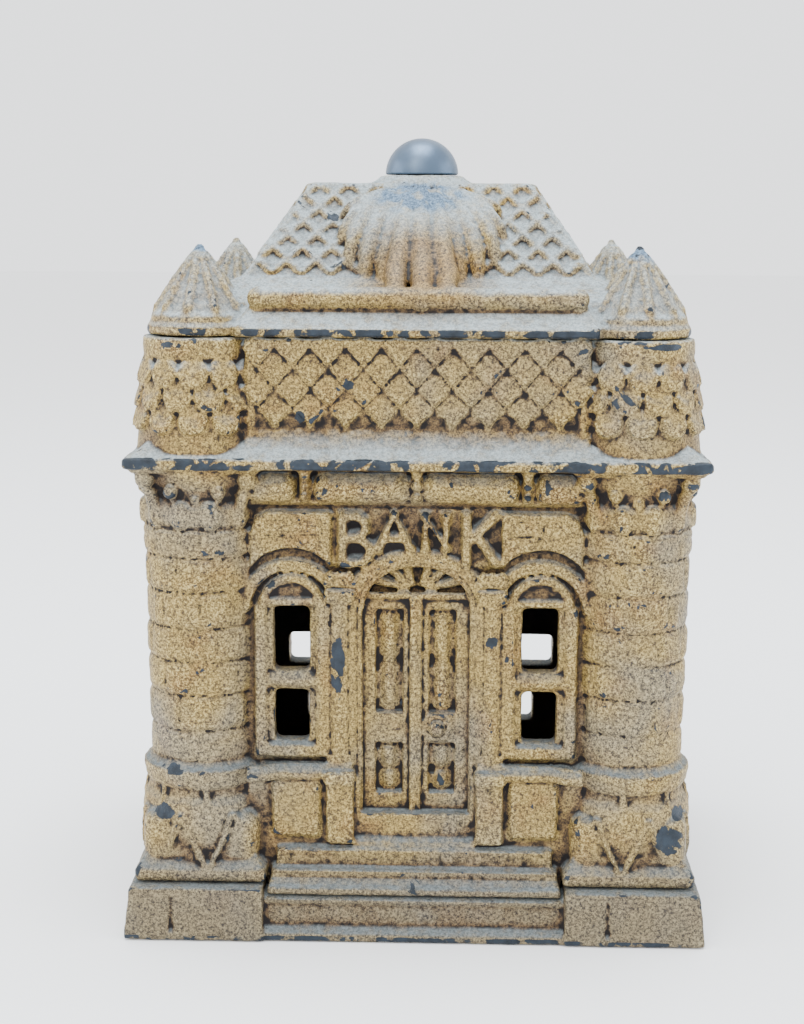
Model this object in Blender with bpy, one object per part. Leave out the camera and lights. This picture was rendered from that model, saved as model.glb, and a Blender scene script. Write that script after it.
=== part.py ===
"""Cast iron still bank in the shape of a small bank building.

Metres, +Z up, origin at the centre of the footprint. Driving sizes are in millimetres.
X runs left to right across the front, and the front faces -Y.
"""

import math

import bmesh
import bpy
from mathutils import Matrix, Vector

MM = 0.001
GAP = 0.3  # clearance between two castings

# Base casting
BASE_HALF = (52.0, 41.2)
BASE_FOOT = 1.5
DECK_TOP = 8.3
DECK_THICK = 3.3
CORNER_TOP = 10.2
CORNER_X = 27.7
CORNER_Y = 14.3
SILL_Y = 39.3
SKIRT = 3.5
LIP_THICK = 2.2
LIP_TOP = 12.0

# Body
TOWER = (39.3, 27.3)
TOWER_BORE = 7.0
WALL_Y = 33.0
WALL_IN_Y = 30.0
ROOM_X = 41.1
SIDE_IN_X = 41.4
SIDE_OUT_X = 44.6
SIDE_END = 14.3
TONGUE_END = 19.4
BODY_FOOT = DECK_TOP + GAP
TOWER_FOOT = CORNER_TOP + GAP
BODY_TOP = 110.2
MANSARD_Y = 35.3
MANSARD_X = 47.2
COURSE_FOOT = 33.6
COURSE_TOP = 73.4
COURSES = 6

# Coin slot, behind
SLOT = (31.8, 4.8)
SLOT_Z = 101.8

# Roof casting
ROOF_FOOT = BODY_TOP + GAP
ROOF_TOP = 137.4
COLLAR_TOP = 138.7

# Fixings
ROD_R = 2.4
ROD_HOLE_R = 2.9
NUT_HOLE_R = 2.85
DOME_HOLE_R = 3.2
ROD_FOOT = 0.8
ROD_TOP = 142.9
DOME_R = 7.05
DOME_FOOT = COLLAR_TOP + GAP
DOME_TOP = 146.0
NUT_SIDE = 9.6
NUT_THICK = 3.1


# ---------------------------------------------------------------- helpers


def clear_scene():
    for obj in list(bpy.data.objects):
        bpy.data.objects.remove(obj)


def new_collection(name, hidden=False):
    group = bpy.data.collections.new(name)
    bpy.context.scene.collection.children.link(group)
    group.hide_render = hidden
    return group


def object_from(bm, name, group):
    bmesh.ops.triangulate(bm, faces=bm.faces)
    bmesh.ops.recalc_face_normals(bm, faces=bm.faces)
    mesh = bpy.data.meshes.new(name)
    bm.to_mesh(mesh)
    bm.free()
    obj = bpy.data.objects.new(name, mesh)
    group.objects.link(obj)
    return obj


def placed(axis, a, b, along):
    """A point from two outline coordinates and a distance along the axis."""
    if axis == "X":
        return Vector((along, a, b)) * MM
    if axis == "Y":
        return Vector((a, along, b)) * MM
    return Vector((a, b, along)) * MM


def prism(outline, axis, low, high, far=None):
    """A closed bar: the outline at low, extruded to high, where it may take the shape of far."""
    bm = bmesh.new()
    near = [bm.verts.new(placed(axis, a, b, low)) for a, b in outline]
    face = bm.faces.new(near)
    made = bmesh.ops.extrude_face_region(bm, geom=[face], use_keep_orig=True)["geom"]
    moved = {item for item in made if isinstance(item, bmesh.types.BMVert)}
    for vertex, (a, b) in zip(near, far or outline):
        across = next(e.other_vert(vertex) for e in vertex.link_edges if e.other_vert(vertex) in moved)
        across.co = placed(axis, a, b, high)
    return bm


def rectangle(a0, a1, b0, b1):
    return [(a0, b0), (a1, b0), (a1, b1), (a0, b1)]


def block(x0, x1, y0, y1, z0, z1):
    bm = bmesh.new()
    middle = Vector((x0 + x1, y0 + y1, z0 + z1)) * (MM / 2)
    size = Matrix.Diagonal((x1 - x0, y1 - y0, z1 - z0, 1.0))
    bmesh.ops.create_cube(bm, size=1.0, matrix=Matrix.Translation(middle) @ Matrix.Scale(MM, 4) @ size)
    return bm


def arched(a0, a1, foot, spring, top, steps=8):
    """A doorway outline: straight jambs and a rounded head."""
    middle = (a0 + a1) / 2
    half = (a1 - a0) / 2
    points = [(a0, foot), (a1, foot)]
    for i in range(steps + 1):
        turn = math.pi * i / steps
        points.append((middle + half * math.cos(turn), spring + (top - spring) * math.sin(turn)))
    return points


def arch_band(middle, spring, inner, outer, start, end, steps=8):
    """A curved moulding seen from in front."""
    turns = [math.radians(start + (end - start) * i / steps) for i in range(steps + 1)]
    points = [(middle + outer * math.cos(t), spring + outer * math.sin(t)) for t in turns]
    points += [(middle + inner * math.cos(t), spring + inner * math.sin(t)) for t in reversed(turns)]
    return points


def stroke(a0, b0, a1, b1, width):
    """A straight letter stroke as a thin four-sided outline."""
    length = math.hypot(a1 - a0, b1 - b0)
    da = -(b1 - b0) / length * width / 2
    db = (a1 - a0) / length * width / 2
    return [(a0 - da, b0 - db), (a1 - da, b1 - db), (a1 + da, b1 + db), (a0 + da, b0 + db)]


def ring_point(turn, radius, square):
    """A point on a shape between a circle (square 2) and a square (square large)."""
    c, s = math.cos(turn), math.sin(turn)
    reach = (abs(c) ** square + abs(s) ** square) ** (-1 / square)
    return radius * reach * c, radius * reach * s


def column(sections, centre, sides=24):
    """A closed loft through sections of height, half width and squareness, which differ in shape."""
    bm = bmesh.new()
    rings = []
    for z, radius, square in sections:
        ring = []
        for i in range(sides):
            x, y = ring_point(2 * math.pi * (i + 0.5) / sides, radius, square)
            ring.append(bm.verts.new(Vector((centre[0] + x, centre[1] + y, z)) * MM))
        rings.append(ring)
    bm.faces.new(list(reversed(rings[0])))
    bm.faces.new(rings[-1])
    for low, high in zip(rings, rings[1:]):
        for i in range(sides):
            j = (i + 1) % sides
            bm.faces.new((low[i], low[j], high[j], high[i]))
    return bm


def turned(profile, centre=(0.0, 0.0), sides=24):
    """A closed round solid: a profile of height and radius spun once about an upright axis."""
    bm = bmesh.new()
    middle = Vector((centre[0], centre[1], 0.0)) * MM
    points = [(profile[0][0], 0.0), *profile, (profile[-1][0], 0.0)]
    verts = [bm.verts.new(middle + Vector((radius, 0.0, z)) * MM) for z, radius in points]
    edges = [bm.edges.new(pair) for pair in zip(verts, verts[1:])]
    bmesh.ops.spin(bm, geom=verts + edges, cent=middle, axis=(0, 0, 1), angle=2 * math.pi, steps=sides)
    bmesh.ops.remove_doubles(bm, verts=bm.verts, dist=1e-6)
    return bm


def flip_y(outline, facing):
    """A side outline of (y, z) points turned to face the front (-1) or the back (+1)."""
    return [(y * facing, z) for y, z in outline]


def boolean(obj, group, operation):
    modifier = obj.modifiers.new(operation.title(), "BOOLEAN")
    modifier.operation = operation
    modifier.operand_type = "COLLECTION"
    modifier.collection = group
    modifier.solver = "EXACT"


class Casting:
    """One finished solid: a first shape, the shapes joined to it and the shapes cut from it."""

    def __init__(self, name, first, parts, tools):
        self.name = name
        self.node = object_from(first, name, parts)
        self.adds = bpy.data.collections.new(name + " additions")
        self.cuts = bpy.data.collections.new(name + " cutters")
        for group in (self.adds, self.cuts):
            group.hide_render = True
            tools.children.link(group)

    def helper(self, bm, group, word):
        obj = object_from(bm, f"{self.name} {word}", group)
        obj.hide_render = True
        obj.display_type = "WIRE"

    def add(self, bm):
        self.helper(bm, self.adds, "addition")

    def cut(self, bm):
        self.helper(bm, self.cuts, "cutter")

    def finish(self, material):
        if self.adds.objects:
            boolean(self.node, self.adds, "UNION")
        if self.cuts.objects:
            boolean(self.node, self.cuts, "DIFFERENCE")
        self.node.data.materials.append(material)
        return self.node


def metal(name, colour, metallic, roughness):
    material = bpy.data.materials.new(name)
    material.use_nodes = True
    shader = material.node_tree.nodes["Principled BSDF"]
    shader.inputs["Base Color"].default_value = (*colour, 1)
    shader.inputs["Metallic"].default_value = metallic
    shader.inputs["Roughness"].default_value = roughness
    material.diffuse_color = (*colour, 1)
    return material


# ---------------------------------------------------------------- base


def build_base(parts, tools, material):
    wide, deep = BASE_HALF
    foot = rectangle(-wide - BASE_FOOT, wide + BASE_FOOT, -deep - BASE_FOOT / 2, deep + BASE_FOOT / 2)
    top = rectangle(-wide, wide, -deep, deep)
    base = Casting("base", prism(foot, "Z", 0, CORNER_TOP, top), parts, tools)
    inner = CORNER_TOP + 5
    # The deck lies lower than the corner blocks, front, back and both sides.
    base.cut(block(-CORNER_X, CORNER_X, -60, 60, DECK_TOP, inner))
    base.cut(block(-60, 60, -CORNER_Y, CORNER_Y, DECK_TOP, inner))
    for facing in (-1, 1):
        near, far = sorted((facing * SILL_Y, facing * 60))
        base.cut(block(-CORNER_X, CORNER_X, near, far, 2.4, inner))
        near, far = sorted((facing * (wide - 1.8), facing * 60))
        base.cut(block(near, far, -CORNER_Y, CORNER_Y, 2.4, inner))
        # Upright joints between the stones of each corner block.
        for side in (-1, 1):
            x = side * (44.5 if facing * side > 0 else 35.5)
            near, far = sorted((facing * (deep - 0.2), facing * 60))
            base.cut(block(x - 0.9, x + 0.9, near, far, 1.4, 9.0))
            near, far = sorted((side * (wide - 0.2), side * 60))
            base.cut(block(near, far, facing * 28 - 0.9, facing * 28 + 0.9, 1.4, 9.0))
    # Hollow underside.
    room = rectangle(-wide + SKIRT, wide - SKIRT, -SILL_Y + SKIRT, SILL_Y - SKIRT)
    base.cut(prism(room, "Z", -1, DECK_TOP - DECK_THICK))
    base.cut(turned([(-1, ROD_HOLE_R), (20, ROD_HOLE_R)], sides=16))
    # Raised rim that holds the feet of the four walls apart.
    out_x, out_y = ROOM_X - GAP, WALL_IN_Y - GAP
    frame = Casting("locating rim", block(-out_x, out_x, -out_y, out_y, 7.0, LIP_TOP), tools, tools)
    in_x, in_y = out_x - LIP_THICK, out_y - LIP_THICK
    frame.node.hide_render = True
    frame.node.display_type = "WIRE"
    frame.cut(block(-in_x, in_x, -in_y, in_y, 6.0, LIP_TOP + 1))
    boolean(frame.node, frame.cuts, "DIFFERENCE")
    tools.objects.unlink(frame.node)
    base.adds.objects.link(frame.node)
    return base.finish(material)


# ---------------------------------------------------------------- body


def tower_sections():
    """Heights, half widths and squareness of a corner tower up to the cornice."""
    sections = [
        (TOWER_FOOT, 12.1, 7),
        (13.0, 12.1, 7),
        (14.2, 11.7, 5),
        (20.0, 12.0, 3.6),
        (24.0, 11.7, 2.8),
        (27.6, 10.9, 2),
        (28.3, 11.5, 2),
        (30.6, 11.6, 2),
        (33.0, 10.3, 2),
    ]
    pitch = (COURSE_TOP - COURSE_FOOT) / COURSES
    for i in range(COURSES):
        foot = COURSE_FOOT + i * pitch
        radius = 9.75 + 0.75 * i / (COURSES - 1)
        sections.append((foot, radius - 0.35, 2))
        sections.append((foot + pitch - 0.5, radius + 0.1, 2))
    sections += [
        (COURSE_TOP + 0.6, 10.2, 2),
        (74.6, 11.0, 2),
        (75.6, 11.0, 2),
        (76.0, 10.5, 2),
        (78.3, 11.3, 2),
        (81.8, 10.5, 2.2),
        (84.4, 12.2, 3.2),
        (88.0, 12.6, 4),
    ]
    return sections


def build_tower(casting, facing, side):
    centre = (side * TOWER[0], facing * TOWER[1])
    casting.add(column(tower_sections(), centre))
    drum = [(88.5, 12.2), (91.5, 11.8), (106.6, 9.9), (107.0, 10.3), (BODY_TOP, 10.2)]
    casting.add(turned(drum, centre))
    # Cornice over the corner, and the piece of the steep roof beyond the drum.
    corner = [0, 52.0, facing * 14.6, facing * 40.0]
    x0, x1 = sorted((side * 27.0, side * 52.0))
    y0, y1 = sorted(corner[2:])
    casting.add(block(x0, x1, y0, y1, 87.0, 89.2))
    x2, x3 = sorted((side * 27.5, side * 47.8))
    y2, y3 = sorted((facing * 14.6, facing * 35.8))
    casting.add(prism(rectangle(x0, x1, y0, y1), "Z", 89.2, 94.0, rectangle(x2, x3, y2, y3)))
    x2, x3 = sorted((side * 43.9, side * MANSARD_X))
    y2, y3 = sorted((facing * 14.6, facing * 26.0))
    casting.add(block(x2, x3, y2, y3, 93.0, BODY_TOP))
    # The tower is cored, and open to the room.
    casting.cut(turned([(0, TOWER_BORE), (120, TOWER_BORE)], centre, 16))
    # Groove that takes the tongue of the side wall.
    x2, x3 = sorted((side * (ROOM_X - 0.5), side * (SIDE_OUT_X + GAP)))
    y2, y3 = sorted((facing * 10.0, facing * (TONGUE_END + GAP)))
    casting.cut(block(x2, x3, y2, y3, 0, 86.6))


def room_cutter(facing):
    """The coin room behind a front or rear wall, taken out of the towers."""
    y0, y1 = sorted((facing * WALL_IN_Y, -facing * 5.0))
    return block(-ROOM_X, ROOM_X, y0, y1, 0, 120)


def wall_profile():
    """Cross-section of a long wall, as (distance out, height)."""
    return [
        (29.0, TOWER_FOOT),
        (35.0, TOWER_FOOT),
        (35.0, 29.3),
        (36.4, 29.6),
        (36.4, 31.0),
        (WALL_Y, 33.0),
        (WALL_Y, 80.2),
        (34.3, 80.6),
        (34.3, 86.4),
        (36.5, 87.0),
        (39.0, 87.0),
        (40.0, 87.4),
        (40.0, 89.2),
        (38.0, 90.2),
        (35.9, 94.0),
        (MANSARD_Y, 94.4),
        (MANSARD_Y, BODY_TOP),
        (29.0, BODY_TOP),
    ]


def build_long_wall(name, facing, parts, tools):
    """The shape that the front and rear castings share."""
    outline = flip_y(wall_profile(), facing)
    casting = Casting(name, prism(outline, "X", -31.0, 31.0), parts, tools)
    for side in (-1, 1):
        build_tower(casting, facing, side)
    y0, y1 = sorted((facing * 28.0, facing * 35.1))
    casting.add(block(-27.3, 27.3, y0, y1, BODY_FOOT, 20.0))
    casting.cut(room_cutter(facing))
    # Hollow behind the cornice and the steep roof.
    hollow = flip_y([(25.0, 84.5), (30.2, 84.5), (34.5, 88.0), (32.2, 92.5), (32.2, 120.0), (25.0, 120.0)], facing)
    casting.cut(prism(hollow, "X", -33.0, 33.0))
    for low, high in ((-30.0, -21.6), (-18.4, -0.9), (1.0, 18.2), (21.2, 30.0)):
        near = rectangle(low, high, 80.9, 86.2)
        away = rectangle(low + 1.2, high - 1.2, 82.0, 85.3)
        casting.add(prism(near, "Y", facing * 34.2, facing * 36.2, away))
    for x in (-19.9, 0.1, 19.7):
        casting.add(block(x - 0.8, x + 0.8, *sorted((facing * 33.5, facing * 36.8)), 81.5, 87.5))
    return casting


def shingle_rows(casting, facing, skip=None):
    """Diamond slates on the steep roof, thicker towards the lower point."""
    for row, z in enumerate((96.7, 100.2, 103.7, 107.2)):
        shift = 3.2 if row % 2 else 0.0
        for i in range(-4, 5):
            x = i * 6.4 + shift
            if abs(x) > 27.0 or (skip and abs(x) < skip[0] and skip[1] < z < skip[2]):
                continue
            near = [(x, z - 2.9), (x + 2.7, z), (x, z + 2.6), (x - 2.7, z)]
            away = [(x, z - 2.7), (x + 2.2, z - 0.3), (x, z + 1.9), (x - 2.2, z - 0.3)]
            casting.add(prism(near, "Y", facing * (MANSARD_Y - 0.4), facing * (MANSARD_Y + 0.8), away))


def window_pair(casting, side):
    """Upper and lower window openings with their frame and hood."""
    middle = side * 22.6
    frame = arched(middle - 6.3, middle + 6.3, 33.2, 62.6, 67.6)
    casting.add(prism(frame, "Y", -34.4, -31.5))
    casting.cut(block(middle - 3.3, middle + 3.3, -60, -20, 49.4, 61.7))
    casting.cut(block(middle - 3.3, middle + 3.3, -60, -20, 36.1, 46.0))
    casting.cut(block(middle - 4.6, middle + 4.6, -60, -33.6, 48.0, 62.8))
    casting.cut(block(middle - 4.6, middle + 4.6, -60, -33.6, 34.8, 47.0))
    casting.add(prism(arch_band(middle, 60.2, 7.4, 9.0, 8, 172), "Y", -35.0, -32.0))
    for x in (middle - 8.1, middle + 8.1):
        casting.add(block(x - 1.3, x + 1.3, -34.8, -32.0, 60.0, 62.2))


def pilaster(casting, side):
    x0, x1 = sorted((side * 11.5, side * 15.9))
    casting.add(block(x0, x1, -35.0, -32.0, 29.0, 63.5))
    casting.add(block(x0 - 0.5, x1 + 0.5, -35.7, -32.0, 30.0, 34.2))
    casting.add(block(x0 - 0.5, x1 + 0.5, -35.8, -32.0, 62.9, 66.2))
    casting.add(block(x0 - 0.6, x1 + 0.6, -36.8, -32.0, 17.7, 29.6))


def door(casting):
    """A sunk double door under a fanlight, all one with the wall."""
    casting.cut(prism(arched(-10.3, 10.3, 22.7, 62.0, 69.3), "Y", -60, -31.9))
    casting.add(block(-1.2, 1.2, -33.0, -31.0, 21.0, 63.9))
    casting.add(block(-10.4, 10.4, -32.7, -31.0, 63.0, 64.3))
    for side in (-1, 1):
        for low, high in ((24.6, 35.4), (41.0, 61.4)):
            x0, x1 = sorted((side * 2.2, side * 8.8))
            rim = rectangle(x0, x1, low, high)
            casting.add(prism(rim, "Y", -31.0, -32.4))
            casting.cut(block(x0 + 0.7, x1 - 0.7, -60, -31.7, low + 0.7, high - 0.7))
    for turn in (30, 60, 90, 120, 150):
        t = math.radians(turn)
        ray = stroke(2.2 * math.cos(t), 64.2 + 1.4 * math.sin(t), 8.6 * math.cos(t), 64.2 + 4.2 * math.sin(t), 0.9)
        casting.add(prism(ray, "Y", -31.0, -32.6))


def door_panels(casting):
    """Turned lens shapes in the door panels and the small knob."""
    for side in (-1, 1):
        x = side * 5.5
        for z, half, tall in ((56.2, 1.5, 4.6), (46.2, 1.5, 4.6), (32.0, 1.7, 2.2), (27.4, 1.4, 1.8)):
            lens = [(x, z - tall), (x + half, z - tall / 3), (x + half, z + tall / 3)]
            lens += [(x, z + tall), (x - half, z + tall / 3), (x - half, z - tall / 3)]
            casting.add(prism(lens, "Y", -31.2, -32.6))
    knob = [(3.9 + 1.6 * math.cos(a), 38.6 + 1.6 * math.sin(a)) for a in [math.pi * i / 4 for i in range(8)]]
    casting.add(prism(knob, "Y", -31.2, -34.0))


LETTERS = {
    "B": ((-13.4, 69.9, -13.4, 78.3), (-13.4, 69.9, -9.2, 69.9), (-13.4, 74.2, -9.2, 74.2),
          (-13.4, 78.3, -9.4, 78.3), (-8.8, 69.9, -8.8, 74.2), (-9.2, 74.2, -9.2, 78.3)),
    "A": ((-6.7, 72.4, -4.0, 78.7), (-1.3, 72.4, -4.0, 78.7), (-5.9, 74.4, -2.1, 74.4)),
    "N": ((1.5, 72.5, 1.5, 78.6), (1.5, 78.6, 5.4, 72.5), (5.4, 72.5, 5.4, 78.6)),
    "K": ((8.9, 69.9, 8.9, 78.7), (8.9, 74.0, 14.2, 78.5), (10.2, 75.0, 14.6, 70.1)),
}


def letter_panel(casting):
    """The raised field over the door with the generic word BANK."""
    field = [(-15.0, 69.4), (-12.0, 69.6), (-7.0, 71.8), (0.2, 72.2), (7.4, 71.8), (12.6, 69.6)]
    field += [(15.8, 69.4), (15.8, 79.5), (-15.0, 79.5)]
    casting.add(prism(field, "Y", -32.0, -34.0))
    for strokes in LETTERS.values():
        for a0, b0, a1, b1 in strokes:
            casting.add(prism(stroke(a0, b0, a1, b1, 1.5), "Y", -33.5, -35.3))
    for side in (-1, 1):
        x0, x1 = sorted((side * 16.6, side * 30.0))
        casting.add(block(x0, x1, -33.9, -32.0, 71.8, 79.3))


def steps(casting):
    """Three low steps and the landing before the door."""
    for half, y, low, top in ((26.9, 40.0, BODY_FOOT, 9.9), (26.3, 38.2, 9.0, 12.9), (25.4, 36.4, 12.0, 16.4)):
        casting.add(block(-half, half, -y, -29.0, low, top))
    casting.add(block(-11.8, 11.8, -36.2, -29.0, 16.0, 18.0))
    casting.add(prism([(-29.0, 17.0), (-35.6, 17.0), (-35.6, 18.2), (-31.9, 22.7), (-29.0, 22.7)], "X", -10.6, 10.6))
    for side in (-1, 1):
        x0, x1 = sorted((side * 17.6, side * 26.0))
        casting.add(block(x0, x1, -36.0, -34.0, 18.6, 28.6))


def build_front_wall(parts, tools, material):
    wall = build_long_wall("front_wall", -1, parts, tools)
    steps(wall)
    for side in (-1, 1):
        window_pair(wall, side)
        pilaster(wall, side)
    door(wall)
    door_panels(wall)
    letter_panel(wall)
    shingle_rows(wall, -1)
    return wall.finish(material)


def build_rear_wall(parts, tools, material):
    wall = build_long_wall("rear_wall", 1, parts, tools)
    # Two windows high and two low, each in a plain raised frame.
    for side in (-1, 1):
        for x, z, half, tall in ((24.3, 37.1, 4.6, 3.4), (20.0, 24.4, 4.7, 3.3)):
            middle = side * x
            wide = 5.6 if z > 30 else 6.0
            low = 33.2 if z > 30 else z - tall - 1.6
            frame = arched(middle - wide, middle + wide, low, z + tall + 0.6, z + tall + 4.4)
            if z > 30:
                wall.add(prism(frame, "Y", 31.5, 34.4))
            wall.cut(block(middle - half, middle + half, 20, 60, z - tall, z + tall))
    for x in (-12.0, 0.0, 12.0):
        wall.add(block(x - 2.2, x + 2.2, 31.5, 34.8, 31.0, 78.0))
    for z in (52.0, 66.0, 78.0):
        wall.add(block(-30.5, 30.5, 31.5, 34.4, z, z + 1.6))
    # Plain raised frame round the coin slot.
    half_x, half_z = SLOT[0] / 2, SLOT[1] / 2
    wall.add(block(-half_x - 3, half_x + 3, 31.8, 37.0, SLOT_Z - half_z - 2.4, SLOT_Z + half_z + 2.4))
    wall.cut(block(-half_x, half_x, 20, 60, SLOT_Z - half_z, SLOT_Z + half_z))
    shingle_rows(wall, 1, skip=(24.0, 92.0, 106.0))
    return wall.finish(material)


def side_profile():
    """Cross-section of a side wall, as (distance out, height)."""
    return [
        (SIDE_IN_X, BODY_FOOT),
        (46.6, BODY_FOOT),
        (46.6, 29.3),
        (48.0, 29.6),
        (48.0, 31.0),
        (SIDE_OUT_X, 33.0),
        (SIDE_OUT_X, 80.2),
        (46.1, 80.6),
        (46.1, 86.4),
        (48.5, 87.0),
        (51.0, 87.0),
        (52.0, 87.4),
        (52.0, 89.2),
        (50.0, 90.2),
        (47.8, 94.0),
        (MANSARD_X, 94.4),
        (MANSARD_X, BODY_TOP),
        (44.0, BODY_TOP),
        (44.0, 92.6),
        (46.4, 88.2),
        (42.6, 84.5),
        (SIDE_IN_X, 84.0),
    ]


def build_side_wall(name, side, parts, tools, material):
    outline = [(side * x, z) for x, z in side_profile()]
    wall = Casting(name, prism(outline, "Y", -SIDE_END, SIDE_END), parts, tools)
    # Tongues that stand in the grooves of the two long castings.
    x0, x1 = sorted((side * (SIDE_IN_X + 0.1), side * (SIDE_OUT_X - 0.1)))
    wall.add(block(x0, x1, -TONGUE_END, TONGUE_END, TOWER_FOOT, 83.4))
    # Blind double window, banded courses and pillowed frieze.
    for y in (-7.2, 7.2):
        frame = arched(y - 5.4, y + 5.4, 31.6, 62.0, 66.6)
        wall.add(prism(frame, "X", side * 43.3, side * 45.9))
        pane = arched(y - 3.6, y + 3.6, 48.6, 60.6, 63.6)
        wall.cut(prism(pane, "X", side * 44.9, side * 60))
        wall.cut(prism(rectangle(y - 3.6, y + 3.6, 35.4, 46.4), "X", side * 44.9, side * 60))
        near = rectangle(y - 6.2, y + 6.2, 80.9, 86.2)
        away = rectangle(y - 5.0, y + 5.0, 82.0, 85.3)
        wall.add(prism(near, "X", side * 45.5, side * 47.8, away))
    for z in (69.6, 74.4):
        wall.add(prism(rectangle(-13.2, 13.2, z, z + 3.6), "X", side * 43.6, side * 45.4))
    for row, z in enumerate((96.7, 100.2, 103.7, 107.2)):
        for i in range(-2, 2 if row % 2 else 3):
            y = i * 6.4 + (3.2 if row % 2 else 0.0)
            if abs(y) > 11.5:
                continue
            near = [(y, z - 2.9), (y + 2.7, z), (y, z + 2.6), (y - 2.7, z)]
            away = [(y, z - 2.7), (y + 2.2, z - 0.3), (y, z + 1.9), (y - 2.2, z - 0.3)]
            wall.add(prism(near, "X", side * (MANSARD_X - 0.4), side * (MANSARD_X + 0.8), away))
    return wall.finish(material)


# ---------------------------------------------------------------- roof


def hip_point(side, facing, share):
    """A point on the hip line: share 0 at the eaves, 1 at the flat top."""
    x = 32.0 + (20.7 - 32.0) * share
    y = 22.0 + (8.0 - 22.0) * share
    z = 120.2 + (ROOF_TOP - 120.2) * share
    return side * x, facing * y, z


def build_turret(roof, side, facing):
    centre = (side * TOWER[0], facing * TOWER[1])
    cap = [(ROOF_FOOT, 9.4), (111.2, 9.6), (111.6, 8.6), (113.0, 8.3), (113.6, 7.7), (126.0, 0.35)]
    roof.add(turned(cap, centre, 20))
    roof.cut(turned([(100, 6.0), (ROOF_FOOT + 1.5, 5.2), (119, 1.0)], centre, 12))


def lattice(roof):
    """Crossed ribs on the front and rear slopes."""
    rise = ROOF_TOP - 120.2
    for facing in (-1, 1):
        for lean in (-1, 1):
            for i in range(-5, 6):
                x = i * 7.4 + 3.7
                ends = []
                for share in (0.06, 0.94):
                    across = x + lean * (share - 0.5) * rise * 1.1
                    limit = 32.0 + (20.7 - 32.0) * share - 1.0
                    ends.append((across, share, limit))
                if any(abs(across) > limit for across, _, limit in ends):
                    continue
                (xa, sa, _), (xb, sb, _) = ends
                ya, za = 22.0 - 14.0 * sa, 120.2 + rise * sa
                yb, zb = 22.0 - 14.0 * sb, 120.2 + rise * sb
                bm = bmesh.new()
                corners = []
                for dx, out in ((-0.55, -0.6), (0.55, -0.6), (0.4, 0.6), (-0.4, 0.6)):
                    dy, dz = out * 0.77, out * 0.63
                    corners.append((
                        bm.verts.new(Vector((xa + dx, facing * (ya + dy), za + dz)) * MM),
                        bm.verts.new(Vector((xb + dx, facing * (yb + dy), zb + dz)) * MM),
                    ))
                bm.faces.new([a for a, _ in corners])
                bm.faces.new([b for _, b in reversed(corners)])
                for j in range(4):
                    k = (j + 1) % 4
                    bm.faces.new((corners[j][0], corners[j][1], corners[k][1], corners[k][0]))
                roof.add(bm)


def shell(roof, facing):
    """A fan of nine lobes from the collar down to the roll moulding."""
    for i in range(-4, 5):
        turn = math.radians(i * 19.0)
        reach = 17.4 * math.cos(turn * 0.62) ** 1.2
        half = 2.6 if i else 3.0
        bm = bmesh.new()
        rows = []
        for share, wide, out in ((0.14, 0.5, 2.6), (0.55, 0.85, 3.6), (0.9, 1.0, 3.0), (1.0, 0.55, 1.2)):
            along = reach * share
            out += 0.11 * i  # each lobe laps a little over the next one
            row = []
            for dx, lift in ((-half * wide, -4.2), (-half * wide * 0.6, 0.0), (half * wide * 0.6, 0.0), (half * wide, -4.2)):
                x = along * math.sin(turn) * 0.92 + dx * math.cos(turn)
                drop = along * math.cos(turn) * 1.12 - dx * math.sin(turn)
                z = 134.5 - drop * 0.86
                y = 9.6 + drop * 0.66 + out + lift
                row.append(bm.verts.new(Vector((x, facing * y, z + (out + lift) * 0.3)) * MM))
            rows.append(row)
        bm.faces.new(rows[0])
        bm.faces.new(list(reversed(rows[-1])))
        for low, high in zip(rows, rows[1:]):
            for j in range(4):
                k = (j + 1) % 4
                bm.faces.new((low[j], low[k], high[k], high[j]))
        roof.add(bm)


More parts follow.
